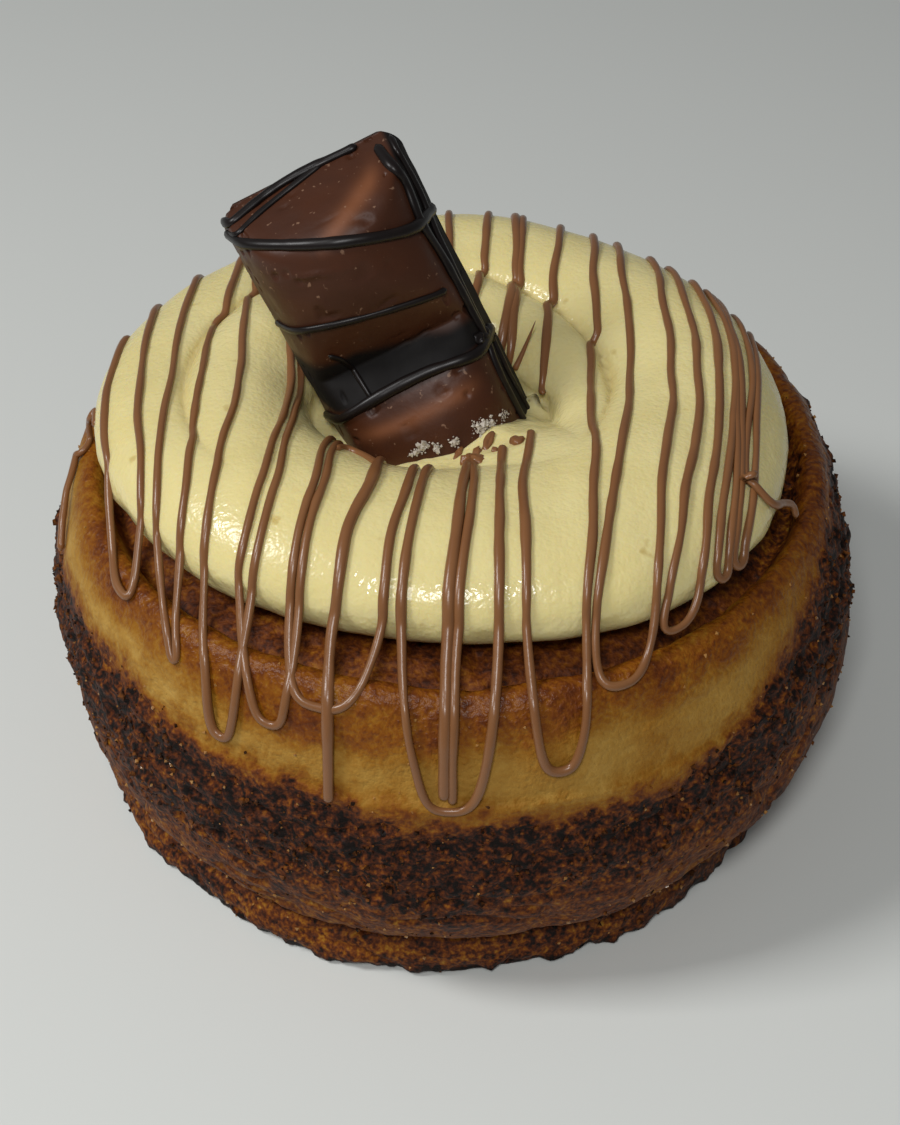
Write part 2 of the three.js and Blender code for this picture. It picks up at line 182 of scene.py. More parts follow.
# %% Work out the roll's surface
FOOT = [[44.3, 0], [45.3, 0.8], [45.5, 3.2], [44.9, 5.2]]
CREASE = [[44.0, 6.2]]
SIDE = [[46.0, 7.6], [48.2, 11.5], [49.5, 17], [49.6, 23], [48.9, 29], [47.8, 34.5], [46.7, 38.6]]
RIM = [[45.4, 41.6], [44.2, 43.2], [42.9, 43.8], [41.6, 43.0]]
SEAM = [[40.4, 40.3]]
INNER_COIL = [[39.0, 41.0], [36.5, 41.8], [34, 42.0]]
ROLL_ROUNDNESS = [1.0, 1.003, 0.994, 1.0, 1.0, 1.004, 0.996, 1.004]
ROLL_SHIFT = [-0.5, 1.5]
LEAN_HEIGHT, LEAN_RADIUS = 20, 30
ROLL_TUCK = [0.2, 0.3, 0.3, 0.6, 1.3, 1.5, -0.8, -0.2]
TUCK_FROM, TUCK_TO = 13, 28

# Heights of the crust's bands, every 22.5 degrees from the right by the back.
CRUST_TOP = [42, 41, 38, 35, 33, 34, 36, 36, 35, 35, 33.7, 32.2, 29.6, 28.6, 33, 41]
TOAST_LOW = [42, 41.5, 41, 41, 41, 41, 41, 41.5, 42, 41.5, 40.3, 38.2, 39.2, 40.6, 42, 42.4]
CRUST_LOW = [30, 26, 22, 20, 20, 20, 22, 24, 25, 24.5, 19.3, 20.3, 20.4, 21.6, 23.8, 29]
# How dark the pale dough is round the roll: 0 is pale, 1 is burnt black. Over its baked tone it is
# paler on the front left, towards the lamp, and darker on the right: painted light and shade.
PALE_BAKE_AND_SHADE = [0.40, 0.36, 0.32, 0.3, 0.26, 0.22, 0.32, 0.37]


def roll_reach(radius, height, angle):
    """Distance from the roll's middle: the outline's radius, times its roundness, less its tuck."""
    tuck = around(angle, ROLL_TUCK) * (1 - smooth(TUCK_FROM, TUCK_TO, height))
    return radius * around(angle, ROLL_ROUNDNESS) - tuck


def roll_middle(radius, height):
    """The middle moves right with height, as the roll leans."""
    low, high = ROLL_SHIFT
    return (low + (high - low) * smooth(0, LEAN_HEIGHT, height)) * np.minimum(1, radius / LEAN_RADIUS)


def roll_point(radius, height, angle):
    """Cylinder coordinates about the leaning middle, as x, y, z."""
    reach = roll_reach(radius, height, angle)
    x = roll_middle(radius, height) + reach * np.cos(angle)
    return np.stack(np.broadcast_arrays(x, reach * np.sin(angle), height), axis=-1)


def roll_bands(points, radius, angle):
    """How much of each band of the crust a point has, from 0 to 1, with wavy and ragged edges."""
    wave = 1.2 * noise(points, 14, 3) + 1.0 * noise(points, 4, 4)
    ragged = wave + 1.3 * noise(points, 1.4, 5) + 0.8 * noise(points, 0.7, 6)
    height = points[..., 2]
    top, low = around(angle, CRUST_TOP), around(angle, CRUST_LOW)
    side = smooth(40.5, 42.5, radius)
    return {
        "crust": smooth(top + 1.6, top - 2.2, height + ragged) * smooth(low - 6, low + 2, height + 2 * wave),
        "singed": smooth(top + 5, top - 1, height + ragged),
        "lower": smooth(low + 3, low - 4, height + wave),
        "toast": smooth(-3.2, 2.2, height - around(angle, TOAST_LOW) + 0.9 * wave) * side,
        "foot": smooth(6.9, 5.6, height),
        "ember": smooth(1.9, 0.7, height + 0.8 * noise(points, 2.2, 7) + 0.4 * noise(points, 0.8, 8)),
        "coil": smooth(41.8, 40.8, radius) * smooth(30, 38, height),
    }


def roll_relief(points, angle, radius, bands):
    """How far the crust stands out, in mm: lumps, granules, pores, folds and the burnt edge."""
    height = points[..., 2]
    side = smooth(36, 43, radius) * smooth(-0.5, 1.0, height)
    lumps = 0.45 * fractal(points, 9, 2, 11)
    granules = (0.42 * noise(points, 1.7, 13) + 0.34 * noise(points, 0.9, 14)) * bands["crust"]
    crags = -0.7 * smooth(0.25, 0.8, noise(points * [1, 1, 1.6], 2.6, 15)) * (0.2 + 0.8 * bands["crust"])
    pores = (0.05 + 0.07 * bands["lower"]) * noise(points, 1.0, 16)
    folds = -0.55 * bump(0, 0.09, fractal(points * [1, 1, 2.4], 13, 2, 17)) * bands["lower"]
    burnt = 0.65 * fractal(points, 1.8, 2, 18) * smooth(2.6, 0.6, height)
    ledge_height = 32.6 + 0.8 * noise(points, 12, 19)
    ledge = 0.5 * smooth(ledge_height + 0.2, ledge_height - 0.3, height) * bump(ledge_height, 3.4, height)
    ledge *= smooth(0.25, 0.1, np.abs(angle / TURN - 0.80))
    wrinkles = 0.16 * noise(points * [1, 1, 3.2], 3.4, 20) * bands["singed"]
    pits = -0.5 * smooth(0.3, 0.75, noise(points, 1.8, 21)) * bands["coil"]
    return side * (lumps + granules + crags + pores + folds + burnt + ledge + wrinkles) + pits


def roll_bake(points, angle, bands):
    """How dark each point is, from 0 for pale dough to 1 for black crust: mostly how far it is baked, with
    painted light and shade round the pale dough and a painted lit band above the crease.
    """
    cloud = noise(points, 7, 22)
    # The pale dough's tone, with painted light on the front left and painted shade on the right.
    bake_and_shade = around(angle, PALE_BAKE_AND_SHADE) + 0.07 * cloud
    bake_and_shade = bake_and_shade + (0.61 + 0.1 * noise(points, 3.5, 23) - bake_and_shade) * bands["toast"]
    bake_and_shade = bake_and_shade + (0.68 - bake_and_shade) * bands["singed"] * 0.75
    # The lower band is a little paler below 14 mm: a painted lit band just above the crease.
    bake_and_shade = bake_and_shade + (0.70 + 0.06 * cloud - 0.05 * smooth(14, 8, points[..., 2]) - bake_and_shade) * bands["lower"]
    bake_and_shade = bake_and_shade + (0.86 - bake_and_shade) * bands["crust"]
    bake_and_shade = bake_and_shade + (0.70 + 0.1 * cloud - bake_and_shade) * bands["foot"]
    bake_and_shade = bake_and_shade + (1 - bake_and_shade) * bands["ember"]
    return bake_and_shade + (0.68 + 0.1 * noise(points, 2.5, 24) - bake_and_shade) * bands["coil"]


ROLL_COLUMNS = 576
ROLL_SPACING = 0.46
outline = smooth_path(FOOT + CREASE + SIDE + RIM + SEAM + INNER_COIL, ROLL_SPACING)
outline = np.vstack([[[r, 0] for r in (12, 28, 38, 42.5)], outline, [[r, 42] for r in (27, 14)]])
roll_angle = np.linspace(0, TURN, ROLL_COLUMNS, endpoint=False)[None, :] + 0 * outline[:, :1]
roll_radius = outline[:, :1] + 0 * roll_angle
roll_rings = roll_point(roll_radius, outline[:, 1:], roll_angle)
bands = roll_bands(roll_rings, roll_radius, roll_angle)
relief = roll_relief(roll_rings, roll_angle, roll_radius, bands)
bake_and_shade = roll_bake(roll_rings, roll_angle, bands)
roll_rings = roll_rings + ring_normals(roll_rings) * relief[..., None]
roll_rings[..., 2] = np.maximum(roll_rings[..., 2], 0)
grit = np.clip(bands["crust"] + 0.45 * bands["lower"] + 0.6 * bands["foot"] + 0.5 * bands["coil"]
               + 0.3 * bands["toast"] + 0.3 * bands["singed"], 0, 1)
roll = make_shell("baked_roll", roll_rings, {"bake_and_shade": bake_and_shade, "grit": grit, "toast": bands["toast"]})
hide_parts("roll")

# %% [markdown]
# ## Crumbs and grains on the crust
# Burnt sugar and crumbs stand on the dark crust as thousands of tiny grains. Particles could
# scatter them, but they don't export, so each kind is one mesh, worked out at once. A grain is an
# eight-sided crystal, stretched and turned at random.

# %% Scatter small grains over the roll
GRAIN_CORNERS = np.array([[1, 0, 0], [-1, 0, 0], [0, 1, 0], [0, -1, 0], [0, 0, 1], [0, 0, -1]], float)
GRAIN_FACES = np.array([[0, 2, 4], [2, 1, 4], [1, 3, 4], [3, 0, 4],
                        [2, 0, 5], [1, 2, 5], [3, 1, 5], [0, 3, 5]])


def random_turns(count, draw):
    """Random rotation matrices, from random quaternions."""
    q = draw.normal(size=(count, 4))
    w, x, y, z = (q / np.linalg.norm(q, axis=1, keepdims=True)).T
    rows = [[1 - 2 * (y * y + z * z), 2 * (x * y - w * z), 2 * (x * z + w * y)],
            [2 * (x * y + w * z), 1 - 2 * (x * x + z * z), 2 * (y * z - w * x)],
            [2 * (x * z - w * y), 2 * (y * z + w * x), 1 - 2 * (x * x + y * y)]]
    return np.moveaxis(np.array(rows), -1, 0)


def make_grains(name, centres, sizes, draw):
    """Each grain: the six corners, stretched by 0.6 to 1.3 along each axis, times its size."""
    count = len(centres)
    corners = GRAIN_CORNERS * draw.uniform(0.6, 1.3, (count, 6, 1)) * sizes[:, None, None]
    points = corners @ random_turns(count, draw) + centres[:, None]
    faces = GRAIN_FACES + 6 * np.arange(count)[:, None, None]
    return make_mesh(name, points.reshape(-1, 3), [faces.reshape(-1, 3)], rounded=False)


def pick_on_roll(chance, count, draw):
    """Random places on the roll's skin, by the given chance for each point of its grid, and then
    up to a tenth of a millimetre to a side."""
    area = np.linalg.norm(np.roll(roll_rings, -1, axis=1) - roll_rings, axis=-1)
    weight = (chance * area).ravel()
    picked = draw.choice(weight.size, count, p=weight / weight.sum())
    spots = roll_rings.reshape(-1, 3)[picked]
    return spots + draw.normal(0, 0.05, spots.shape)


DRAW_SEED = 7
BURNT_CRUMBS, SUGAR_GRAINS = 3400, 650
draw = np.random.default_rng(DRAW_SEED)
on_side = smooth(39, 43, roll_radius) * smooth(0.6, 2.0, roll_rings[..., 2])
crumb_chance = on_side * (bands["crust"] + 0.10 * bands["lower"] + 0.05 * bands["singed"])
crumb_chance = crumb_chance + 0.15 * smooth(44, 45.2, roll_radius) * smooth(2.0, 0.8, roll_rings[..., 2])
crumb_chance = crumb_chance * smooth(-0.5, 0.6, noise(roll_rings, 5, 71) + 0.3)
spots = pick_on_roll(crumb_chance, BURNT_CRUMBS, draw)
crumbs = make_grains("burnt_crumbs", spots, draw.gamma(3.5, 0.062, len(spots)), draw)
sugar_chance = on_side * (0.5 * bands["singed"] + 0.4 * bands["toast"] + 0.12)
spots = pick_on_roll(sugar_chance, SUGAR_GRAINS, draw)
sugar = make_grains("sugar_grains", spots, draw.uniform(0.12, 0.34, len(spots)), draw)

# %% [markdown]
# ## The cream's shape
# The cream was piped in one thick rope that goes round twice: the second lap starts outside, over
# the first, and winds in towards the hole. At the front the two have run together. A swept tube
# would cut into itself where the laps touch, so the cream is one height over the floor: each lap is
# a dome, the higher one counts, and a narrow crease stays where they meet. In front of the bar the
# cream was pressed up into the hole, which makes a shelf.

# %% Work out the cream's surface
CREAM_MIDDLE = np.array([0.3, 0.5])
CREAM_WAIST, CREAM_BELOW = 47.6, 6.6
CREAM_OUTER = [40.3, 39.6, 40.0, 40.6, 40.9, 38.8, 38.3, 42.0]
ROPE_RISE = [6.8, 6.8, 6.8, 6.8, 7.0, 7.2, 7.0, 7.0]
LAPS_PART = [0.8, 1, 1, 1, 0.9, 0, 0, 0]
FIRST_LAP_INNER = [18, 18, 20, 22, 22, 22, 20, 18]
FIRST_LAP_RISE = [7.0, 6.8, 6.4, 5.6, 5.4, 5.4, 6, 7.0]
SECOND_LAP_OUTER = [22.5, 23.5, 26.0, 31.3, 32.8, 33.0, 28.0, 24.0]
SECOND_LAP_RISE = [4.2, 5.4, 6.7, 7.1, 7.2, 7.2, 7.0, 5.0]
CREAM_HOLE = [12.5, 11.0, 12.0, 14.0, 16.0, 14.5, 13.8, 14.5]
HOLE_FLOOR = 46.3
SHELF = [47, 46.3, 46.3, 46.3, 46.3, 46.3, 49, 50.6]
SHELF_HEIGHT, SHELF_FROM, SHELF_RADIUS, SHELF_SLOPE, SHELF_REACH = 4, 2, 9, 0.25, 12
CREASE_DEPTH, CREASE_WIDTH = 0.7, 0.5


def dome(r, inner, outer, rise):
    """Half an ellipse between two radii: rise times sqrt(1 - u^2), with u from -1 to 1 across."""
    u = (r - (outer + inner) / 2) / ((outer - inner) / 2)
    return rise * np.sqrt(np.clip(1 - u * u, 0, 1))


def floor_top(r, angle):
    """Height of the hole's floor. In front on the right it is a shelf of pressed-up cream."""
    up = (around(angle, SHELF) - HOLE_FLOOR) * smooth(SHELF_FROM, SHELF_RADIUS, r)
    steep = SHELF_SLOPE * np.clip(up / SHELF_HEIGHT, 0, 1)
    return HOLE_FLOOR + up + steep * np.clip(r - SHELF_RADIUS, 0, SHELF_REACH)


def laps(r, angle):
    """Heights of the first lap and of the second, which winds in over it."""
    hole, outer = around(angle, CREAM_HOLE), around(angle, CREAM_OUTER)
    first = dome(r, around(angle, FIRST_LAP_INNER), outer, around(angle, FIRST_LAP_RISE))
    second = dome(r, hole, around(angle, SECOND_LAP_OUTER), around(angle, SECOND_LAP_RISE))
    return first, second


def in_crease(r, angle):
    """1 in the crease between the laps, where their heights are alike, and 0 away from it."""
    first, second = laps(r, angle)
    return np.exp(-np.abs(first - second) / CREASE_WIDTH) * around(angle, LAPS_PART) * (first > 1)


def cream_top(r, angle):
    """Height of the cream: laps that part behind and run together in front, over the hole's floor."""
    hole, outer = around(angle, CREAM_HOLE), around(angle, CREAM_OUTER)
    rope = dome(r, hole, outer, around(angle, ROPE_RISE))
    first, second = laps(r, angle)
    part = around(angle, LAPS_PART)
    top = CREAM_WAIST + (1 - part) * rope + part * np.maximum(first, second)
    top = top - CREASE_DEPTH * in_crease(r, angle)
    floor = floor_top(r, angle)
    return np.where(r < hole, floor, np.where(r < (hole + outer) / 2, np.maximum(top, floor), top))


def cream_relief(points, r, angle):
    """Hand-piped unevenness, in mm: slow swells, soft flutes across the rope and a knobbly shelf."""
    hole, outer = around(angle, CREAM_HOLE), around(angle, CREAM_OUTER)
    swells = 0.4 * noise(points, 15, 31) + 0.18 * noise(points, 6, 32)
    flutes = 0.11 * noise(points * [1, 0.12, 0.12], 2.6, 33) + 0.03 * noise(points, 1.6, 34)
    lip = 0.35 * noise(points, 3.2, 35) * smooth(outer - 2, outer + 0.5, r) * smooth(48.5, 47, points[..., 2])
    shelf = smooth(hole + 1.5, hole - 0.5, r) * smooth(46.6, 48.5, points[..., 2])
    knobs = shelf * (0.55 * noise(points, 3.4, 36) + 0.22 * noise(points, 1.5, 37))
    lump = 2.2 * bump(0, 2.4, np.linalg.norm(points[..., :2] - [12.2, 2.2], axis=-1)) * (r < hole)
    return swells + flutes + lip + knobs + lump


CREAM_COLUMNS = 560
UNDER_ROWS, OVER_ROWS = 22, 116
BELOW_FROM, COIL_CLEAR = 56, 42.3
FLOOR_PARTS = [0.98, 0.94, 0.88, 0.8, 0.7, 0.58, 0.44, 0.28, 0.12]
cream_angle = np.linspace(0, TURN, CREAM_COLUMNS, endpoint=False)[None, :]
cream_hole, cream_outer = around(cream_angle, CREAM_HOLE), around(cream_angle, CREAM_OUTER)
under = np.radians(np.linspace(BELOW_FROM, 1, UNDER_ROWS))[:, None]
under_middle = (cream_outer + cream_hole) / 2
under_r = under_middle + (cream_outer - under_middle) * np.cos(under)
under_z = np.maximum(CREAM_WAIST - CREAM_BELOW * np.sin(under), COIL_CLEAR) + 0 * cream_angle
over = (0.5 + 0.5 * np.cos(np.linspace(0.004, 1, OVER_ROWS) * math.pi))[:, None]
over_r = cream_hole + (cream_outer - cream_hole) * over
over_z = cream_top(np.maximum(over_r, cream_hole + 1e-6), cream_angle)
floor_r = np.array(FLOOR_PARTS)[:, None] * cream_hole
cream_r = np.vstack([under_r, over_r, floor_r])
cream_z = np.vstack([under_z, over_z, floor_top(floor_r, cream_angle)])
cream_rings = np.stack([CREAM_MIDDLE[0] + cream_r * np.cos(cream_angle),
                        CREAM_MIDDLE[1] + cream_r * np.sin(cream_angle), cream_z], axis=-1)
lift = cream_relief(cream_rings, cream_r, cream_angle + 0 * cream_r)
cream_rings = cream_rings + ring_normals(cream_rings) * lift[..., None]
# Painted shade in the crease between the laps: a darker amber tint, strongest on the right.
crease = in_crease(cream_r, cream_angle + 0 * cream_r) * smooth(47, 49, cream_rings[..., 2])
crease_shade = crease * (0.35 + 0.65 * smooth(0.22, 0.02, (cream_angle / TURN + 0.12) % 1) + 0 * cream_r)
cream = make_shell("piped_cream_ring", cream_rings, {"crease_shade": crease_shade})
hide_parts("cream_ring")

# %% [markdown]
# ## The wafer bar's shape
# The bar is a thin wafer case with two pillow-shaped humps, dipped in chocolate. It could be a box
# with bevels, but the valley runs into the sides, so one formula gives its height over the flat
# back. Four kinds of face bound it: slanted sides, slanted ends, the slopes of the valley and an
# arched crest. The lowest face counts, with soft edges. x is across, y into the back and z along.

# %% Work out the bar's surface
BAR_VALLEY_AT = np.array([-6.2, 4.3, 57.2])
BAR_BACK_LEAN, BAR_LEFT_LEAN, BAR_TWIST = 10, 25.5, 12
BAR_WIDTH, BAR_UPPER, BAR_LOWER = 22.3, 21.2, 21.0
BAR_EDGE, BAR_SIDE_SLOPE, BAR_END_SLOPE = 0.8, 3.7, 2.6
BAR_VALLEY, BAR_VALLEY_SLOPE = 7.6, 0.75
BAR_CREST, BAR_ARCH = 13.2, 0.045
BAR_SHARPNESS = 6
BAR_CORNER, BAR_CORNER_DEPTH = 2.4, 1.6


def turned(axis, degrees):
    """Matrix that turns about x, y or z."""
    c, s = math.cos(math.radians(degrees)), math.sin(math.radians(degrees))
    i, j = [(1, 2), (2, 0), (0, 1)]["xyz".index(axis)]
    matrix = np.eye(3)
    matrix[i, i] = matrix[j, j] = c
    matrix[i, j], matrix[j, i] = -s, s
    return matrix


BAR_TURN = turned("y", -BAR_LEFT_LEAN) @ turned("x", -BAR_BACK_LEAN) @ turned("z", BAR_TWIST)


def bar_place(points):
    """From the bar's own frame to the roll's."""
    return points @ BAR_TURN.T + BAR_VALLEY_AT


def bar_half(along):
    """Half the bar's width, less at the rounded corners of its ends."""
    to_end = np.minimum(along + BAR_LOWER, BAR_UPPER - along)
    return BAR_WIDTH / 2 - BAR_CORNER_DEPTH * np.maximum(0, 1 - to_end / BAR_CORNER) ** 2


def hump(across, along):
    """Height over the flat back: the faces' heights h joined as (sum of h^-6)^(-1/6)."""
    to_end = np.minimum(along + BAR_LOWER, BAR_UPPER - along)
    faces = [BAR_EDGE + BAR_SIDE_SLOPE * (bar_half(along) - np.abs(across)),
             BAR_EDGE + BAR_END_SLOPE * to_end,
             BAR_VALLEY + BAR_VALLEY_SLOPE * np.abs(along),
             BAR_CREST - BAR_ARCH * across**2]
    return sum(np.maximum(face, BAR_EDGE) ** -BAR_SHARPNESS for face in faces) ** (-1 / BAR_SHARPNESS)


def bar_front(across, along):
    """Points on the front of the bar, in its own frame."""
    return np.stack(np.broadcast_arrays(across, -hump(across, along), along), axis=-1)


def bar_out(across, along, step=0.05):
    """The front's outward normal, from the slopes of its height."""
    to_side = (hump(across + step, along) - hump(across - step, along)) / (2 * step)
    to_top = (hump(across, along + step) - hump(across, along - step)) / (2 * step)
    normal = np.stack(np.broadcast_arrays(-to_side, -1.0, -to_top), axis=-1)
    return normal / np.linalg.norm(normal, axis=-1, keepdims=True)


def even_stations(low, high, height, count):
    """Places between low and high, evenly spaced along the curve of a height."""
    fine = np.linspace(low, high, 3000)
    run = np.r_[0, np.cumsum(np.hypot(np.diff(fine), np.diff(height(fine))))]
    return np.interp(np.linspace(0, run[-1], count), run, fine)


BAR_ROWS, FRONT_COLUMNS, BACK_COLUMNS = 220, 200, 40
CREST_AT = 11.0
bar_along = even_stations(-BAR_LOWER, BAR_UPPER, lambda z: hump(0.0, z), BAR_ROWS)[:, None]
bar_part = even_stations(-1, 1, lambda t: hump(t * BAR_WIDTH / 2, CREST_AT), FRONT_COLUMNS)[None, :]
bar_across = bar_part * bar_half(bar_along)
front = bar_front(bar_across, bar_along)
back_part = np.linspace(1, -1, BACK_COLUMNS)[None, 1:-1]
back = np.stack(np.broadcast_arrays(back_part * bar_half(bar_along), 0.0, bar_along), axis=-1)
bar_rings = np.concatenate([front, back], axis=1)
x, z = bar_rings[..., 0], bar_rings[..., 2]
on_front = np.r_[np.ones(front.shape[1]), np.zeros(back.shape[1])][None, :] + 0 * z
wobble = 0.2 * noise(bar_rings, 6, 41) + 0.07 * noise(bar_rings, 1.8, 42)
wrinkle = 0.28 * bump(0, 0.35, z - 13.6 + 0.35 * (x + 4) + 0.2 * noise(bar_rings, 1.5, 43))
wrinkle = wrinkle * bump(-3.6, 2.4, x)
pits = -0.25 * smooth(0.62, 0.8, noise(bar_rings, 1.3, 44))
bar_rings = bar_rings + ring_normals(bar_rings) * ((wobble + wrinkle + pits) * on_front)[..., None]
# Painted shade: the valley under the upper hump, which that hump shadows, and the right flank, which faces
# away from the lamp, get the dark value, which paints them near black.
valley_shade_top = 0.6 - 0.22 * x + 0.5 * noise(bar_rings, 2.5, 45)
dark = smooth(valley_shade_top + 0.9, valley_shade_top - 0.6, z) * smooth(-4.4, -3.4, z)
dark = np.maximum(dark, smooth(9.3, 10.0, x + 0.25 * noise(bar_rings, 4, 46)))
# Painted highlight with some rubbed wear: the arcs along the crests, where the rounded shoulders catch the
# light, are painted lighter.
upper_arc = bump(0, 0.8, z - 16.3 - 0.36 * x) * smooth(-2.5, 0, x) * smooth(8.5, 6, x)
lower_arc = bump(0, 0.9, z + 7.1) * smooth(-9.5, -5, x) * smooth(8.5, 4, x)
rub_and_highlight = (upper_arc + lower_arc) * on_front
bar = make_shell("wafer_bar_coat", bar_place(bar_rings), {"dark": dark, "rub_and_highlight": rub_and_highlight})
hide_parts("wafer_bar")

# %% [markdown]
# ## Poured strands
# Melted chocolate was poured back and forth, so each strand is a rope that follows the surface
# under it. A curve with a bevel could make it, but its thickness has to change on the way. So a
# ring of points is carried along the path, turned by the path's direction and the surface's
# outward direction. All strands of a kind are one mesh.

# %% Sweep round strands along paths
STRAND_SIDES = 10


def tube(path, outward, radius, flat=0.85):
    """Rings round a path: side = direction x outward, up = side x direction, and each ring is
    radius * (cos * side + flat * sin * up). The ends shrink to round tips."""
    along = np.gradient(path, axis=0)
    along /= np.linalg.norm(along, axis=1, keepdims=True)
    side = np.cross(along, outward)
    side /= np.linalg.norm(side, axis=1, keepdims=True)
    up = np.cross(side, along)
    run = np.r_[0, np.cumsum(np.linalg.norm(np.diff(path, axis=0), axis=1))]
    tip = np.clip(np.minimum(run, run[-1] - run) / np.maximum(radius, 1e-6), 0.02, 1)
    wide = radius * np.sqrt(1 - (1 - tip) ** 2)
    turn = np.linspace(0, TURN, STRAND_SIDES, endpoint=False)
    ring = np.cos(turn)[None, :, None] * side[:, None] - flat * np.sin(turn)[None, :, None] * up[:, None]
    return path[:, None] + ring * wide[:, None, None]


def make_strands(name, tubes):
    """All tubes as one mesh, each a closed shell."""
    points, faces, start = [], [], 0
    for rings in tubes:
        rows, columns = rings.shape[:2]
        points.append(np.vstack([rings[0].mean(0), rings.reshape(-1, 3), rings[-1].mean(0)]))
        faces.append([f + start for f in shell_faces(rows, columns)])
        start += len(points[-1])
    quads = np.vstack([f[0] for f in faces])
    tips = np.vstack([np.vstack(f[1:]) for f in faces])
    return make_mesh(name, np.vstack(points), [quads, tips])

# %% [markdown]
# ## The milk-chocolate drizzle
# The drizzle ran back and forth: a leg forward over the cream, a loop that hangs in front, a leg
# back, and a loop behind. A leg is known by its x at five places from back to front. A front loop is
# its depth, its lean and its belly, which is how much wider it gets as it hangs. The loops behind
# have a depth alone, as the photo shows none of them.

# %% Where the drizzle was poured
LEG_AT = [36, 18, 0, -18, -36]
# For each chain: its strand's radius and its first drop behind, then rows of a leg, a front loop,
# a leg back and the depth of the loop behind.
CHAINS = [
    (0.50, 8, [
        ([-37.5, -38.5, -39, -37, -36], [10.5, 0.7, -0.5], [-34, -35.5, -35, -33, -32.5], 9),
        ([-30.5, -31, -31.5, -31, -31.5], [12.5, 1.2, -0.6], [-24, -26, -27.5, -27.5, -29.5], 12),
        ([-21.5, -23, -23, -24, -26.5], [18, -0.8, -0.6], [-12, -16, -16.5, -17, -20.5], 9),
        ([-17, -18, -17.5, -18.5, -22.5], [14, 0.3, -0.6], [-11, -12, -11, -12, -15], 14),
        ([-8, -9, -11.5, -13, -16], [10.5, -1.5, -0.4], [1, 0.5, -1.5, -3, -6], 10)]),
    (0.52, 11, [
        ([6, 4.5, 1, -1.5, -4], [21, 0, -0.3], [10.5, 9.5, 8, 7, 6], 9),
        ([15.5, 14, 12, 9.5, 9], [16.5, 0.6, -0.2], [19.5, 19, 17.5, 17, 15.5], 12),
        ([22.5, 22.5, 22, 19.5, 16.5], [8, -0.8, 0], [26.5, 27, 27, 24.5, 22.5], 8),
        ([28, 29.5, 30, 27.5, 23.5], [4, -1.2, 0.2], [30, 32, 32.5, 30, 26.5], 9)]),
    (0.50, 7, [
        ([32, 33.5, 34.5, 31.5, 28], [1.5, 0, 0], [33.5, 34.5, 34.5, 32.5, 29.5], 9),
        ([33, 34, 35, 33, 30], [1.5, 0, 0], [36, 37.5, 37, 34.5, 30.5], 8)]),
]
# Strands that end in front: radius, drop behind, leg, drop in front and how far that drop leans.
ENDED = [(0.66, 9, [-5.5, -5.5, -6, -7, -11], 21.5, -0.8),
         (0.60, 12, [9.5, 9, 5.5, 3, 1], 19.5, -0.5),
         (0.50, 10, [-3, -2.5, 2, 4, 2], 20, -0.7)]
LEAN_RUN = 5
LIP, LIP_HEIGHT = 0.2, 48.6
FRONT, BACK = -1, 1
JOG, JOG_STEEP, JOG_REACH = 1.3, 0.3, 1.5
LEG_STEP, SIDE_STEP, STRAND_STEP = 0.4, 2, 0.4
LOW_MIDDLE = [0, 0, 15]

# %% Lay the drizzle over cream and roll
def polar(x, y):
    """Distance and direction from the cream's middle."""
    dx, dy = x - CREAM_MIDDLE[0], y - CREAM_MIDDLE[1]
    return np.hypot(dx, dy), np.arctan2(dy, dx)


def on_cream(x, y):
    """Points on the cream's finished surface, with its relief."""
    r, angle = polar(x, y)
    points = np.stack([x, y, np.maximum(cream_top(r, angle), HOLE_FLOOR)], axis=-1)
    points[..., 2] += cream_relief(points, r, angle)
    return points


def leg_points(leg):
    """Points along a leg from back to front, and NaN where it is over the hole. The strand jogs
    sideways where it drops over the crease between the laps."""
    places = smooth_path(np.stack([leg, LEG_AT], axis=-1), 0.5)
    y = np.arange(max(CREAM_OUTER), -max(CREAM_OUTER), -LEG_STEP)
    x = np.interp(-y, -places[:, 1], places[:, 0])
    r, angle = polar(x, y)
    first, second = laps(r, angle)
    past = second - first
    jog = JOG / 2 * np.tanh(past / JOG_STEEP) * np.exp(-np.abs(past) / JOG_REACH)
    x = x - jog * around(angle, LAPS_PART)
    x = x + 0.35 * noise(np.stack([x, y, 0 * x], axis=-1), 7, 53)
    lying = (r < around(angle, CREAM_OUTER) - LIP) & (r > around(angle, CREAM_HOLE) - 0.2)
    points = np.where(lying[:, None], on_cream(x, y), np.nan)
    shown = np.flatnonzero(lying)
    return points[shown[0]:shown[-1] + 1]


def angle_at(x, middle, reach, side):
    """Direction in which an outline passes x, on the front or the back, found by repetition."""
    angle = np.full(np.shape(x), side * math.pi / 2)
    for _ in range(8):
        angle = side * np.arccos(np.clip((x - middle) / reach(angle), -1, 1))
    return angle


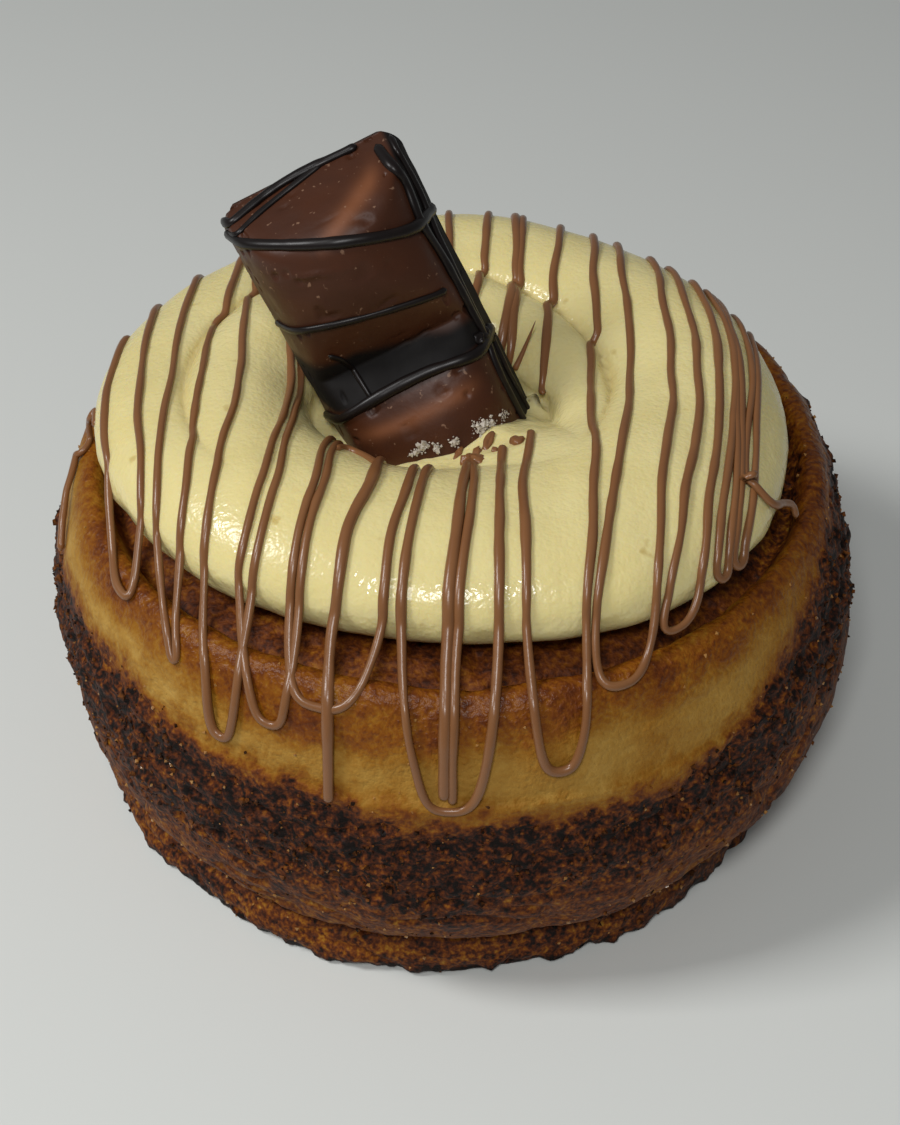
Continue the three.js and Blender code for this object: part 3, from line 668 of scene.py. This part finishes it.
def fallen(x, drop, side):
    """Points at each x whose way down from the lip, over the crest and the side, is `drop` long."""
    lip = angle_at(x, CREAM_MIDDLE[0], lambda a: around(a, CREAM_OUTER) - LIP, side)
    lip_y = CREAM_MIDDLE[1] + (around(lip, CREAM_OUTER) - LIP) * np.sin(lip)
    stops = [np.stack([x, lip_y, np.full(np.shape(x), LIP_HEIGHT)], axis=-1)]
    for radius, height in reversed(smooth_path(SIDE + RIM[:-1], SIDE_STEP).tolist()):
        angle = angle_at(x, roll_middle(radius, height), lambda a: roll_reach(radius, height, a), side)
        stops.append(roll_point(radius + 0.3, np.full(np.shape(x), height), angle))
    stops = np.stack(stops, axis=1)
    length = np.linalg.norm(np.diff(stops, axis=1), axis=-1)
    run = np.concatenate([np.zeros((len(x), 1)), np.cumsum(length, axis=1)], axis=1)
    i = np.clip((run <= drop[:, None]).sum(axis=1) - 1, 0, stops.shape[1] - 2)
    row = np.arange(len(x))
    share = ((drop - run[row, i]) / length[row, i])[:, None]
    return stops[row, i] * (1 - share) + stops[row, i + 1] * share


def loop_points(start, end, side, depth, lean=0.0, belly=0.0):
    """A hanging loop. Its x goes over as cos^0.6, plus lean * sin and belly * sin of twice the turn,
    while the drop goes as sin^0.9."""
    turn = np.linspace(0, math.pi, 91)
    half = (start - end) / 2
    x = end + half + half * np.sign(np.cos(turn)) * np.abs(np.cos(turn)) ** 0.6
    x = x + lean * np.sin(turn) + belly * np.sign(half) * np.sin(2 * turn)
    drop = depth * np.sin(turn) ** 0.9
    x = x + 0.3 * noise(np.stack([x, drop, 0 * x], axis=-1), 5, 54) * np.sin(turn)
    return fallen(x, drop, side)


def drop_points(x, side, depth, lean=0.0):
    """A strand that just hangs down: x + lean * (1 - e^(-drop / LEAN_RUN))."""
    drop = np.linspace(0, depth, 61)
    x = x + lean * (1 - np.exp(-drop / LEAN_RUN))
    return fallen(x + 0.2 * noise(np.stack([x, drop, 0 * x], axis=-1), 6, 55), drop, side)


def chain_path(first_drop, rows):
    """The whole way of a chain: a first drop behind, then leg, front loop, leg and loop behind."""
    path = []
    for k, (leg, (depth, lean, belly), leg_back, depth_behind) in enumerate(rows):
        there, again = leg_points(leg), leg_points(leg_back)[::-1]
        if k == 0:
            path.append(drop_points(there[0, 0], BACK, first_drop)[::-1])
        path += [there, loop_points(there[-1, 0], again[0, 0], FRONT, depth, lean, belly), again]
        if k + 1 < len(rows):
            path.append(loop_points(again[-1, 0], leg_points(rows[k + 1][0])[0, 0], BACK, depth_behind))
        else:
            path.append(drop_points(again[-1, 0], BACK, depth_behind))
    return np.vstack(path)


def outward_at(path):
    """Away from a point low in the roll's middle."""
    away = path - LOW_MIDDLE
    return away / np.linalg.norm(away, axis=1, keepdims=True)


def softened(path, spacing, rounds):
    """Evenly spaced points, each then averaged with its neighbours a few times."""
    run = np.r_[0, np.cumsum(np.linalg.norm(np.diff(path, axis=0), axis=1))]
    keep = np.r_[True, np.diff(run) > 1e-6]
    at = np.linspace(0, run[-1], max(4, round(run[-1] / spacing)))
    path = np.stack([np.interp(at, run[keep], path[keep, k]) for k in range(3)], axis=-1)
    for _ in range(rounds):
        path[1:-1] = path[1:-1] / 2 + (path[2:] + path[:-2]) / 4
    return path


def poured(path, radius, rounds=3):
    """A strand on a path, with its uneven thickness, lifted by half its radius."""
    path = softened(path, STRAND_STEP, rounds)
    width = radius * (1 + 0.2 * noise(path, 8, 51) + 0.12 * noise(path, 2.4, 52))
    outward = outward_at(path)
    return tube(path + outward * 0.5 * radius, outward, width)


def poured_pieces(path, radius):
    """The strands of a path, which is broken by NaN where it would cross the hole."""
    pieces = np.split(path, np.flatnonzero(np.isnan(path[:, 0])))
    pieces = [piece[~np.isnan(piece[:, 0])] for piece in pieces]
    return [poured(piece, radius) for piece in pieces if len(piece) > 5]


drizzle_tubes = []
for radius, first_drop, rows in CHAINS:
    drizzle_tubes += poured_pieces(chain_path(first_drop, rows), radius)
for radius, behind, leg, depth, lean in ENDED:
    there = leg_points(leg)
    path = [drop_points(there[0, 0], BACK, behind)[::-1], there,
            drop_points(there[-1, 0], FRONT, depth, lean)]
    drizzle_tubes += poured_pieces(np.vstack(path), radius)

# %% [markdown]
# ### Stray strands
# A few strands go their own way: one hangs down the left edge, one bends back round the hole, one
# ends in a knot and a curled tail on the right, and one has dried to a thin spike. Each has a few
# listed places joined by a cubic, because it repeats nothing.

# %% Lay the stray strands
STRAND_RADIUS, TAIL_RADIUS, KNOT_RADIUS, SPIKE_TIP = 0.5, 0.46, 0.42, 0.05
ARCH = [[-11.5, -14], [-10.5, -12], [-8.5, -13.5], [-6.5, -17.5]]
STRAY_AT, STRAY_DROP, STRAY_LEAN = -40, 21.5, -4
LAST_LEG = [35, 36, 36.5, 33.5, 33.5]
KNOT_AT = np.array([33.8, -19.0, 53.2])
TAIL = [[34, -19.5, 53], [36.5, -20.5, 50.5], [38, -18.5, 49], [39.5, -17, 47.5], [40, -17.5, 46]]
SPIKE = [[11.5, 9.5, 54.5], [10, 8, 51], [9, 7, 49]]
arch = smooth_path(ARCH, STRAND_STEP)
drizzle_tubes.append(poured(on_cream(arch[:, 0], arch[:, 1]), STRAND_RADIUS))
hung = drop_points(STRAY_AT, FRONT, STRAY_DROP, STRAY_LEAN)
drizzle_tubes.append(poured(hung, STRAND_RADIUS))
last_leg = leg_points(LAST_LEG)
last_leg = last_leg[last_leg[:, 1] > KNOT_AT[1]]
drizzle_tubes.append(poured(np.vstack([last_leg, smooth_path(TAIL, STRAND_STEP)]), TAIL_RADIUS))
turn = np.linspace(0, TURN, 24)[:, None]
knot = KNOT_AT + np.cos(turn) * [0.7, 0, 0.3] + np.sin(turn) * [0, -0.7, 0.7]
drizzle_tubes.append(poured(knot, KNOT_RADIUS, rounds=1))
spike = smooth_path(SPIKE, STRAND_STEP / 2)
thin = np.linspace(SPIKE_TIP, KNOT_RADIUS, len(spike))
drizzle_tubes.append(tube(spike, outward_at(spike), thin))
drizzle = make_strands("milk_chocolate_drizzle", drizzle_tubes)
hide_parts("cream_ring")

# %% [markdown]
# ## Dark lines on the bar
# Thin dark chocolate was poured across the bar and along its right shoulder. A line could be
# painted, but it stands up from the coat and catches the light, so it is a strand too. Each is a
# radius and a few places on the bar, x across and z along.

# %% Pour the dark lines
DARK_LINES = [
    (0.62, [[-11, 20], [-3, 21], [6.5, 21]]),
    (0.42, [[-11, 19], [-6, 20], [2, 21]]),
    (0.66, [[-11, 19], [-7.5, 18], [2, 15], [9, 12], [11, 11]]),
    (0.42, [[-11, 7], [-7, 7.5], [2.5, 5.5], [8.5, 4]]),
    (0.70, [[-11, -6], [-7, -4], [2.5, -3.5], [11, -5]]),
    (0.62, [[8.5, 20.5], [9.5, 17], [9.2, 12], [9.6, 6], [9.8, -4.5]]),
    (0.50, [[10.2, 20.5], [10.4, 14], [10.1, 8], [10, -4]]),
    (0.55, [[9.9, -4.5], [9.5, -9], [9.6, -19]]),
    (0.40, [[10.6, -4], [10.4, -10], [10.6, -17]]),
    (0.28, [[-4.6, -3.4], [-5.4, 1.5], [-6.6, 3.4]]),
]


def on_bar(places):
    """Points on the bar and their outward normals, in the roll's frame."""
    across, along = places[:, 0], places[:, 1]
    return bar_place(bar_front(across, along)), bar_out(across, along) @ BAR_TURN.T


dark_tubes = []
for radius, line in DARK_LINES:
    path, outward = on_bar(smooth_path(line, 0.3))
    width = radius * (1 + 0.22 * noise(path, 5, 61) + 0.12 * noise(path, 1.5, 62))
    dark_tubes.append(tube(path + outward * 0.25 * radius, outward, width, 0.75))
lines = make_strands("dark_chocolate_lines", dark_tubes)
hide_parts("wafer_bar")

# %% [markdown]
# ## Knot and flecks
# Two dark lines ran together in a knot, and small flecks of drizzle broke off on the shelf of
# cream. These are blobs. A metaball would do, but a ball with noise on its radius, squashed onto
# the surface, is simpler.

# %% Make a blob on a surface
BLOB_ROWS, BLOB_COLUMNS = 12, 18
FLECK_OUT = np.array([0.1, -0.3, 1.0])


def blob(centre, outward, sizes, seed):
    """Rings of a ball with half-axes `sizes` (along, across, out), turned so that out is outward."""
    up = outward / np.linalg.norm(outward)
    side = np.cross(up, [0.3, 1, 0.2])
    side /= np.linalg.norm(side)
    frame_axes = np.stack([side, np.cross(up, side), up])
    tilt = np.linspace(-0.47, 0.47, BLOB_ROWS)[:, None] * math.pi
    turn = np.linspace(0, TURN, BLOB_COLUMNS, endpoint=False)[None, :]
    ball = np.stack([np.cos(tilt) * np.cos(turn), np.cos(tilt) * np.sin(turn), np.sin(tilt) + 0 * turn], -1)
    uneven = 1 + 0.35 * noise(ball, 0.7, seed) + 0.2 * noise(ball, 0.35, seed)
    return (ball * uneven[..., None] * sizes) @ frame_axes + centre


def bar_blobs(places, seed):
    """Blobs on the bar from rows of x, z, then half-axes along, across and out."""
    out = []
    for k, (across, along, *sizes) in enumerate(places):
        centre, outward = on_bar(np.array([[across, along]]))
        out.append(blob(centre[0], outward[0], sizes, seed + k))
    return out


def cream_blobs(places, seed):
    """Blobs on the cream from rows of x, y, then three half-axes."""
    out = []
    for k, (x, y, *sizes) in enumerate(places):
        centre = on_cream(np.array([float(x)]), np.array([float(y)]))[0]
        out.append(blob(centre, FLECK_OUT, sizes, seed + k))
    return out

# %% Lay the knot and the flecks
KNOT = [[9.9, -4.3, 1.5, 1.3, 0.9], [9.2, -3.6, 0.8, 0.9, 0.7], [10.4, -5.2, 0.9, 0.7, 0.6]]
knots = make_strands("dark_chocolate_knots", bar_blobs(KNOT, 301))
FLECKS = [[2.2, -10.2, 0.45, 1.3, 0.45], [3.0, -12.2, 0.7, 0.9, 0.5], [3.2, -14.4, 0.5, 1.2, 0.4],
          [4.3, -13.6, 1.1, 0.8, 0.55], [4.3, -11.8, 0.5, 1.0, 0.4], [5.6, -10.2, 0.6, 1.5, 0.5],
          [6.3, -12.2, 0.5, 0.45, 0.4], [8.8, -11.2, 0.9, 0.9, 0.55]]
flecks = make_strands("chocolate_flecks", cream_blobs(FLECKS, 341))

# %% [markdown]
# ## Smears of cream on the bar
# Where the bar was pushed in, cream rubbed off on it and dried white. Each smear is a cloud of tiny
# grains round one place, drawn from a bell curve, because its edge is crumbly.

# %% Scatter the smears
# Place on the bar, x and z, and the spread in both directions.
SMEARS = [[-2.6, -10.7, 0.6, 0.25], [-1.6, -10.5, 0.3, 0.3], [-0.3, -11.3, 0.2, 0.3], [1.8, -11.5, 0.3, 0.25],
          [4.7, -11.4, 0.45, 0.5], [5.6, -11.9, 0.5, 0.2], [6.4, -12.2, 0.2, 0.35], [8.0, -12.4, 0.25, 0.3]]
SMEAR_GRAINS = 45
places = np.repeat(np.array(SMEARS), SMEAR_GRAINS, axis=0)
spots, outward = on_bar(places[:, :2] + places[:, 2:] * draw.normal(size=(len(places), 2)))
smears = make_grains("cream_smears", spots + 0.1 * outward, draw.gamma(3, 0.045, len(spots)), draw)

# %% [markdown]
# ## Materials
# All finishes are Principled shaders with a few noise nodes, so they export and look right from
# every side. One function turns a hex colour into the linear numbers that the shader wants, one
# adds a node with its settings and links, and one starts a material.

# %% Helpers for materials
def colour(code):
    """sRGB hex to linear: ((c + 0.055) / 1.055)^2.4, or c / 12.92 where it is dark."""
    c = np.array([int(code[i:i + 2], 16) / 255 for i in (1, 3, 5)])
    linear = np.where(c <= 0.04045, c / 12.92, ((c + 0.055) / 1.055) ** 2.4)
    return (*linear, 1.0)


def add(material, kind, settings=None, **sockets):
    """A node of a kind. Settings are its own fields. A socket takes a value or another's output,
    and a socket without a name of its own is _ and its number."""
    node = material.node_tree.nodes.new(kind)
    for key, value in (settings or {}).items():
        setattr(node, key, value)
    for key, value in sockets.items():
        place = int(key[1:]) if key[0] == "_" else key.replace("_", " ")
        if isinstance(value, bpy.types.NodeSocket):
            material.node_tree.links.new(value, node.inputs[place])
        else:
            node.inputs[place].default_value = value
    return node


def new_material(name, **sockets):
    """A material with its surface and its object coordinates."""
    material = bpy.data.materials.new(name)
    material.use_nodes = True
    material.node_tree.nodes.clear()
    shader = add(material, "ShaderNodeBsdfPrincipled", **sockets)
    add(material, "ShaderNodeOutputMaterial", Surface=shader.outputs["BSDF"])
    place = add(material, "ShaderNodeTexCoord").outputs["Object"]
    return material, shader, place

# %% [markdown]
# ### Baked dough
# Yeast dough with cinnamon sugar, baked in a ring. It could have a material for each band, but
# baking gives one run of colours, from pale through golden and brown to black, so the finish is one
# ramp. A point's place on it is its baked value, which also holds painted light and shade on the pale
# dough and a painted lit band above the crease, stirred by grains of 0.55, 1.4 and 5 mm, and more
# so where it has `grit`. Porous crust hardly mirrors, and the toasted rim has a thin caramel gloss.

# %% Baked dough
BAKE_COLOURS = [(0.0, "#D2B070"), (0.14, "#BF9A50"), (0.30, "#A57C34"), (0.44, "#8F5F18"),
                (0.56, "#7D470D"), (0.68, "#62300D"), (0.80, "#431E0B"), (0.92, "#230F07"), (1.0, "#0E0603")]
dough, surface, place = new_material("Baked yeast dough with cinnamon sugar", IOR=1.4,
                                     Specular_IOR_Level=0.25)
# Tone from baking, with painted light and shade on the pale dough and a painted lit band above the crease.
bake_and_shade_value = add(dough, "ShaderNodeAttribute", {"attribute_name": "bake_and_shade"}).outputs["Fac"]
grit_value = add(dough, "ShaderNodeAttribute", {"attribute_name": "grit"}).outputs["Fac"]
toast_value = add(dough, "ShaderNodeAttribute", {"attribute_name": "toast"}).outputs["Fac"]
fine = add(dough, "ShaderNodeTexNoise", Vector=place, Scale=1 / (0.55 * MM), Detail=2.0).outputs["Fac"]
medium = add(dough, "ShaderNodeTexNoise", Vector=place, Scale=1 / (1.4 * MM), Detail=2.0).outputs["Fac"]
coarse = add(dough, "ShaderNodeTexNoise", Vector=place, Scale=1 / (5 * MM), Detail=3.0).outputs["Fac"]
stirred = add(dough, "ShaderNodeMath", {"operation": "MULTIPLY_ADD"}, _0=fine, _1=1.3, _2=medium)
stirred = add(dough, "ShaderNodeMath", {"operation": "SUBTRACT"}, _0=stirred.outputs[0], _1=1.15)
strength = add(dough, "ShaderNodeMapRange", Value=grit_value, _1=0.0, _2=1.0, _3=0.10, _4=0.75)
stirred = add(dough, "ShaderNodeMath", {"operation": "MULTIPLY"},
              _0=stirred.outputs[0], _1=strength.outputs[0])
stirred = add(dough, "ShaderNodeMath", {"operation": "ADD"}, _0=stirred.outputs[0], _1=bake_and_shade_value)
slow = add(dough, "ShaderNodeMath", {"operation": "MULTIPLY_ADD"}, _0=coarse, _1=0.22, _2=-0.11)
level = add(dough, "ShaderNodeMath", {"operation": "ADD"}, _0=stirred.outputs[0], _1=slow.outputs[0])
ramp = add(dough, "ShaderNodeValToRGB", Fac=level.outputs[0])
while len(ramp.color_ramp.elements) < len(BAKE_COLOURS):
    ramp.color_ramp.elements.new(0.5)
for element, (stop, code) in zip(ramp.color_ramp.elements, BAKE_COLOURS):
    element.position = stop
    element.color = colour(code)
dough.node_tree.links.new(ramp.outputs["Color"], surface.inputs["Base Color"])
shine = add(dough, "ShaderNodeMapRange", Value=toast_value, _1=0.0, _2=1.0, _3=0.62, _4=0.36)
dough.node_tree.links.new(shine.outputs[0], surface.inputs["Roughness"])
grains = add(dough, "ShaderNodeMath", {"operation": "ADD"}, _0=fine, _1=medium)
raised = add(dough, "ShaderNodeBump", Strength=0.7, Distance=0.3 * MM, Height=grains.outputs[0])
dough.node_tree.links.new(raised.outputs[0], surface.inputs["Normal"])
roll.data.materials.append(dough)

# %% [markdown]
# ### Grains
# Burnt crumbs are dark brown and dull. Sugar grains are smooth caramel, so they catch the light.
# Each is one colour ramped by noise, coarser than a grain, so that every grain gets its own tone.

# %% Crumbs and sugar
burnt, surface, place = new_material("Burnt crumb", IOR=1.4, Roughness=0.6,
                                     Specular_IOR_Level=0.15)
speck = add(burnt, "ShaderNodeTexNoise", Vector=place, Scale=1 / (1.2 * MM)).outputs["Fac"]
tint = add(burnt, "ShaderNodeMapRange", Value=speck, _1=0.42, _2=0.66)
tone = add(burnt, "ShaderNodeMix", {"data_type": "RGBA"},
           _0=tint.outputs[0], _6=colour("#1E0F07"), _7=colour("#74431A"))
burnt.node_tree.links.new(tone.outputs[2], surface.inputs["Base Color"])
crumbs.data.materials.append(burnt)
caramel, surface, place = new_material("Caramelised sugar grain", IOR=1.5, Roughness=0.2)
speck = add(caramel, "ShaderNodeTexNoise", Vector=place, Scale=1 / (2 * MM)).outputs["Fac"]
tone = add(caramel, "ShaderNodeMix", {"data_type": "RGBA"},
           _0=speck, _6=colour("#6E3E17"), _7=colour("#B98A4C"))
caramel.node_tree.links.new(tone.outputs[2], surface.inputs["Base Color"])
sugar.data.materials.append(caramel)

# %% [markdown]
# ### Piped cream
# Butter cream is pale yellow and lets light in, so it has subsurface light. Its skin was smoothed
# by the nozzle and is glossy in patches. Fat has gathered in small spots, which are amber, and the
# crease between the laps is painted a darker amber as painted shade. Air bubbles of 0.6 mm break up its
# highlights.

# %% Piped cream
butter, surface, place = new_material("Piped butter cream", IOR=1.46)
surface.inputs["Subsurface Weight"].default_value = 0.35
surface.inputs["Subsurface Radius"].default_value = (1.0, 0.75, 0.35)
surface.inputs["Subsurface Scale"].default_value = 2.5 * MM
crease_shade_value = add(butter, "ShaderNodeAttribute", {"attribute_name": "crease_shade"}).outputs["Fac"]
cloud = add(butter, "ShaderNodeTexNoise", Vector=place, Scale=1 / (7 * MM), Detail=2.0).outputs["Fac"]
bubble = add(butter, "ShaderNodeTexNoise", Vector=place, Scale=1 / (0.6 * MM), Detail=1.0).outputs["Fac"]
spots = add(butter, "ShaderNodeTexNoise", Vector=place, Scale=1 / (3.2 * MM)).outputs["Fac"]
tone = add(butter, "ShaderNodeMix", {"data_type": "RGBA"},
           _0=cloud, _6=colour("#E6D99F"), _7=colour("#DCCB88"))
# Amber: random spots of gathered fat, and painted shade in the crease between the laps.
fat_and_crease_shade = add(butter, "ShaderNodeMapRange", Value=spots, _1=0.70, _2=0.78, _3=0.0, _4=0.5)
fat_and_crease_shade = add(butter, "ShaderNodeMath", {"operation": "MAXIMUM"}, _0=fat_and_crease_shade.outputs[0], _1=crease_shade_value)
tone = add(butter, "ShaderNodeMix", {"data_type": "RGBA"},
           _0=fat_and_crease_shade.outputs[0], _6=tone.outputs[2], _7=colour("#B4933A"))
butter.node_tree.links.new(tone.outputs[2], surface.inputs["Base Color"])
gloss = add(butter, "ShaderNodeMapRange", Value=cloud, _1=0.35, _2=0.65, _3=0.1, _4=0.32)
butter.node_tree.links.new(gloss.outputs[0], surface.inputs["Roughness"])
raised = add(butter, "ShaderNodeBump", Strength=0.6, Distance=0.16 * MM, Height=bubble)
butter.node_tree.links.new(raised.outputs[0], surface.inputs["Normal"])
cream.data.materials.append(butter)

# %% [markdown]
# ### Dried smears
# Cream that dried on the chocolate lost its fat and turned white and dull.

# %% Dried smears of cream
dried, surface, place = new_material("Dried smear of butter cream", IOR=1.4, Roughness=0.5)
speck = add(dried, "ShaderNodeTexNoise", Vector=place, Scale=1 / (1 * MM)).outputs["Fac"]
tone = add(dried, "ShaderNodeMix", {"data_type": "RGBA"},
           _0=speck, _6=colour("#8E8278"), _7=colour("#D8D0C0"))
dried.node_tree.links.new(tone.outputs[2], surface.inputs["Base Color"])
smears.data.materials.append(dried)

# %% [markdown]
# ### Chocolates
# The drizzle is milk chocolate that set as it was poured: smooth, with a satin gloss. The bar was
# run through a curtain of chocolate, and its coat was handled, so small flaws show. Its crest arcs
# are painted lighter, a painted highlight with some rubbed wear, and its valley and right flank are
# painted near black as painted shade. The lines are dark and nearly matt.

# %% Milk chocolate drizzle
milk, surface, place = new_material("Milk chocolate, poured and set", IOR=1.47, Roughness=0.3)
cloud = add(milk, "ShaderNodeTexNoise", Vector=place, Scale=1 / (6 * MM)).outputs["Fac"]
tone = add(milk, "ShaderNodeMix", {"data_type": "RGBA"},
           _0=cloud, _6=colour("#865B37"), _7=colour("#744A2B"))
milk.node_tree.links.new(tone.outputs[2], surface.inputs["Base Color"])
ripple = add(milk, "ShaderNodeTexNoise", Vector=place, Scale=1 / (0.9 * MM)).outputs["Fac"]
raised = add(milk, "ShaderNodeBump", Strength=0.25, Distance=0.15 * MM, Height=ripple)
milk.node_tree.links.new(raised.outputs[0], surface.inputs["Normal"])
for thing in (drizzle, flecks):
    thing.data.materials.append(milk)

# %% Coat of the bar
coat, surface, place = new_material("Milk chocolate coat, enrobed", IOR=1.45, Specular_IOR_Level=0.3)
painted_shade_value = add(coat, "ShaderNodeAttribute", {"attribute_name": "dark"}).outputs["Fac"]
rub_and_highlight_value = add(coat, "ShaderNodeAttribute", {"attribute_name": "rub_and_highlight"}).outputs["Fac"]
cloud = add(coat, "ShaderNodeTexNoise", Vector=place, Scale=1 / (5 * MM), Detail=3.0).outputs["Fac"]
bloom = add(coat, "ShaderNodeTexNoise", Vector=place, Scale=1 / (0.8 * MM), Detail=2.0).outputs["Fac"]
tone = add(coat, "ShaderNodeMix", {"data_type": "RGBA"},
           _0=cloud, _6=colour("#4C2917"), _7=colour("#371C0F"))
# Painted highlight with some rubbed wear: lighter brown on the crest arcs.
rub_and_highlight_part = add(coat, "ShaderNodeMath", {"operation": "MULTIPLY"}, _0=rub_and_highlight_value, _1=0.8)
tone = add(coat, "ShaderNodeMix", {"data_type": "RGBA"},
           _0=rub_and_highlight_part.outputs[0], _6=tone.outputs[2], _7=colour("#7A4A2E"))
flaw = add(coat, "ShaderNodeMapRange", Value=bloom, _1=0.68, _2=0.74, _3=0.0, _4=0.7)
tone = add(coat, "ShaderNodeMix", {"data_type": "RGBA"},
           _0=flaw.outputs[0], _6=tone.outputs[2], _7=colour("#8A6A54"))
# Painted shade: near black in the valley and on the right flank.
tone = add(coat, "ShaderNodeMix", {"data_type": "RGBA"},
           _0=painted_shade_value, _6=tone.outputs[2], _7=colour("#0D0908"))
coat.node_tree.links.new(tone.outputs[2], surface.inputs["Base Color"])
gloss = add(coat, "ShaderNodeMapRange", Value=cloud, _1=0.3, _2=0.7, _3=0.38, _4=0.52)
gloss = add(coat, "ShaderNodeMath", {"operation": "MULTIPLY_ADD"},
            _0=painted_shade_value, _1=0.25, _2=gloss.outputs[0])
coat.node_tree.links.new(gloss.outputs[0], surface.inputs["Roughness"])
raised = add(coat, "ShaderNodeBump", Strength=0.2, Distance=0.15 * MM, Height=bloom)
coat.node_tree.links.new(raised.outputs[0], surface.inputs["Normal"])
bar.data.materials.append(coat)

# %% Dark chocolate lines
dark_choc, surface, place = new_material("Dark chocolate, poured and set", IOR=1.45, Roughness=0.36,
                                         Specular_IOR_Level=0.35)
cloud = add(dark_choc, "ShaderNodeTexNoise", Vector=place, Scale=1 / (3 * MM)).outputs["Fac"]
tone = add(dark_choc, "ShaderNodeMix", {"data_type": "RGBA"},
           _0=cloud, _6=colour("#0B0808"), _7=colour("#1A1210"))
dark_choc.node_tree.links.new(tone.outputs[2], surface.inputs["Base Color"])
for thing in (lines, knots):
    thing.data.materials.append(dark_choc)

# %% [markdown]
# ## Floor, light and camera
# The floor is matt pale paper. A soft lamp on the left gives the shadow on the right, and a small
# window in front gives the highlights on the cream and lights the floor before it. A sun lamp would
# cast too hard a shadow, so both are area lights. The camera looks down at 41 degrees, through a
# lens that was fitted to the photo.

# %% Floor
FLOOR_HALF = 3
floor_mesh = bpy.data.meshes.new("pale_floor")
floor_mesh.from_pydata([(-FLOOR_HALF, -FLOOR_HALF, 0), (FLOOR_HALF, -FLOOR_HALF, 0),
                        (FLOOR_HALF, FLOOR_HALF, 0), (-FLOOR_HALF, FLOOR_HALF, 0)], [], [(0, 1, 2, 3)])
floor = bpy.data.objects.new("pale_floor", floor_mesh)
bpy.context.scene.collection.objects.link(floor)
paper, surface, place = new_material("Pale matt paper", Roughness=0.75)
surface.inputs["Base Color"].default_value = colour("#D8DAD6")
floor_mesh.materials.append(paper)

# %% Camera
TARGET = np.array([1.2, 1.2, 23.2]) * MM
DISTANCE, ELEVATION = 248.4 * MM, 41
PHOTO_FOCAL, PHOTO_HEIGHT, SENSOR = 1948, 1125, 36
lens = bpy.data.cameras.new("camera")
lens.sensor_width = SENSOR
lens.lens = PHOTO_FOCAL / PHOTO_HEIGHT * SENSOR
lens.clip_start = 0.01
camera = bpy.data.objects.new("camera", lens)
tilt = math.radians(ELEVATION)
camera.location = TARGET + DISTANCE * np.array([0, -math.cos(tilt), math.sin(tilt)])
camera.rotation_euler = (math.pi / 2 - tilt, 0, 0)
bpy.context.scene.collection.objects.link(camera)
bpy.context.scene.camera = camera

# %% Lights
def softbox(name, azimuth, elevation, distance, size, power):
    """A square area light that faces the roll, from a direction and a distance in metres."""
    light = bpy.data.lights.new(name, "AREA")
    light.size, light.energy = size, power
    lamp = bpy.data.objects.new(name, light)
    a, e = math.radians(azimuth), math.radians(elevation)
    away = Vector((math.cos(a) * math.cos(e), math.sin(a) * math.cos(e), math.sin(e)))
    lamp.location = away * distance + Vector((0, 0, 0.04))
    lamp.rotation_euler = (-away).to_track_quat("-Z", "Y").to_euler()
    bpy.context.scene.collection.objects.link(lamp)


softbox("left_lamp", azimuth=192, elevation=48, distance=0.66, size=0.16, power=2.35)
softbox("front_window", azimuth=-97, elevation=50, distance=0.46, size=0.09, power=0.85)
WORLD_STRENGTH = 0.2
world = bpy.data.worlds.new("studio")
bpy.context.scene.world = world
world.use_nodes = True
world.node_tree.nodes["Background"].inputs[0].default_value = colour("#DDE0E2")
world.node_tree.nodes["Background"].inputs[1].default_value = WORLD_STRENGTH
bpy.context.scene.view_settings.view_transform = "Standard"
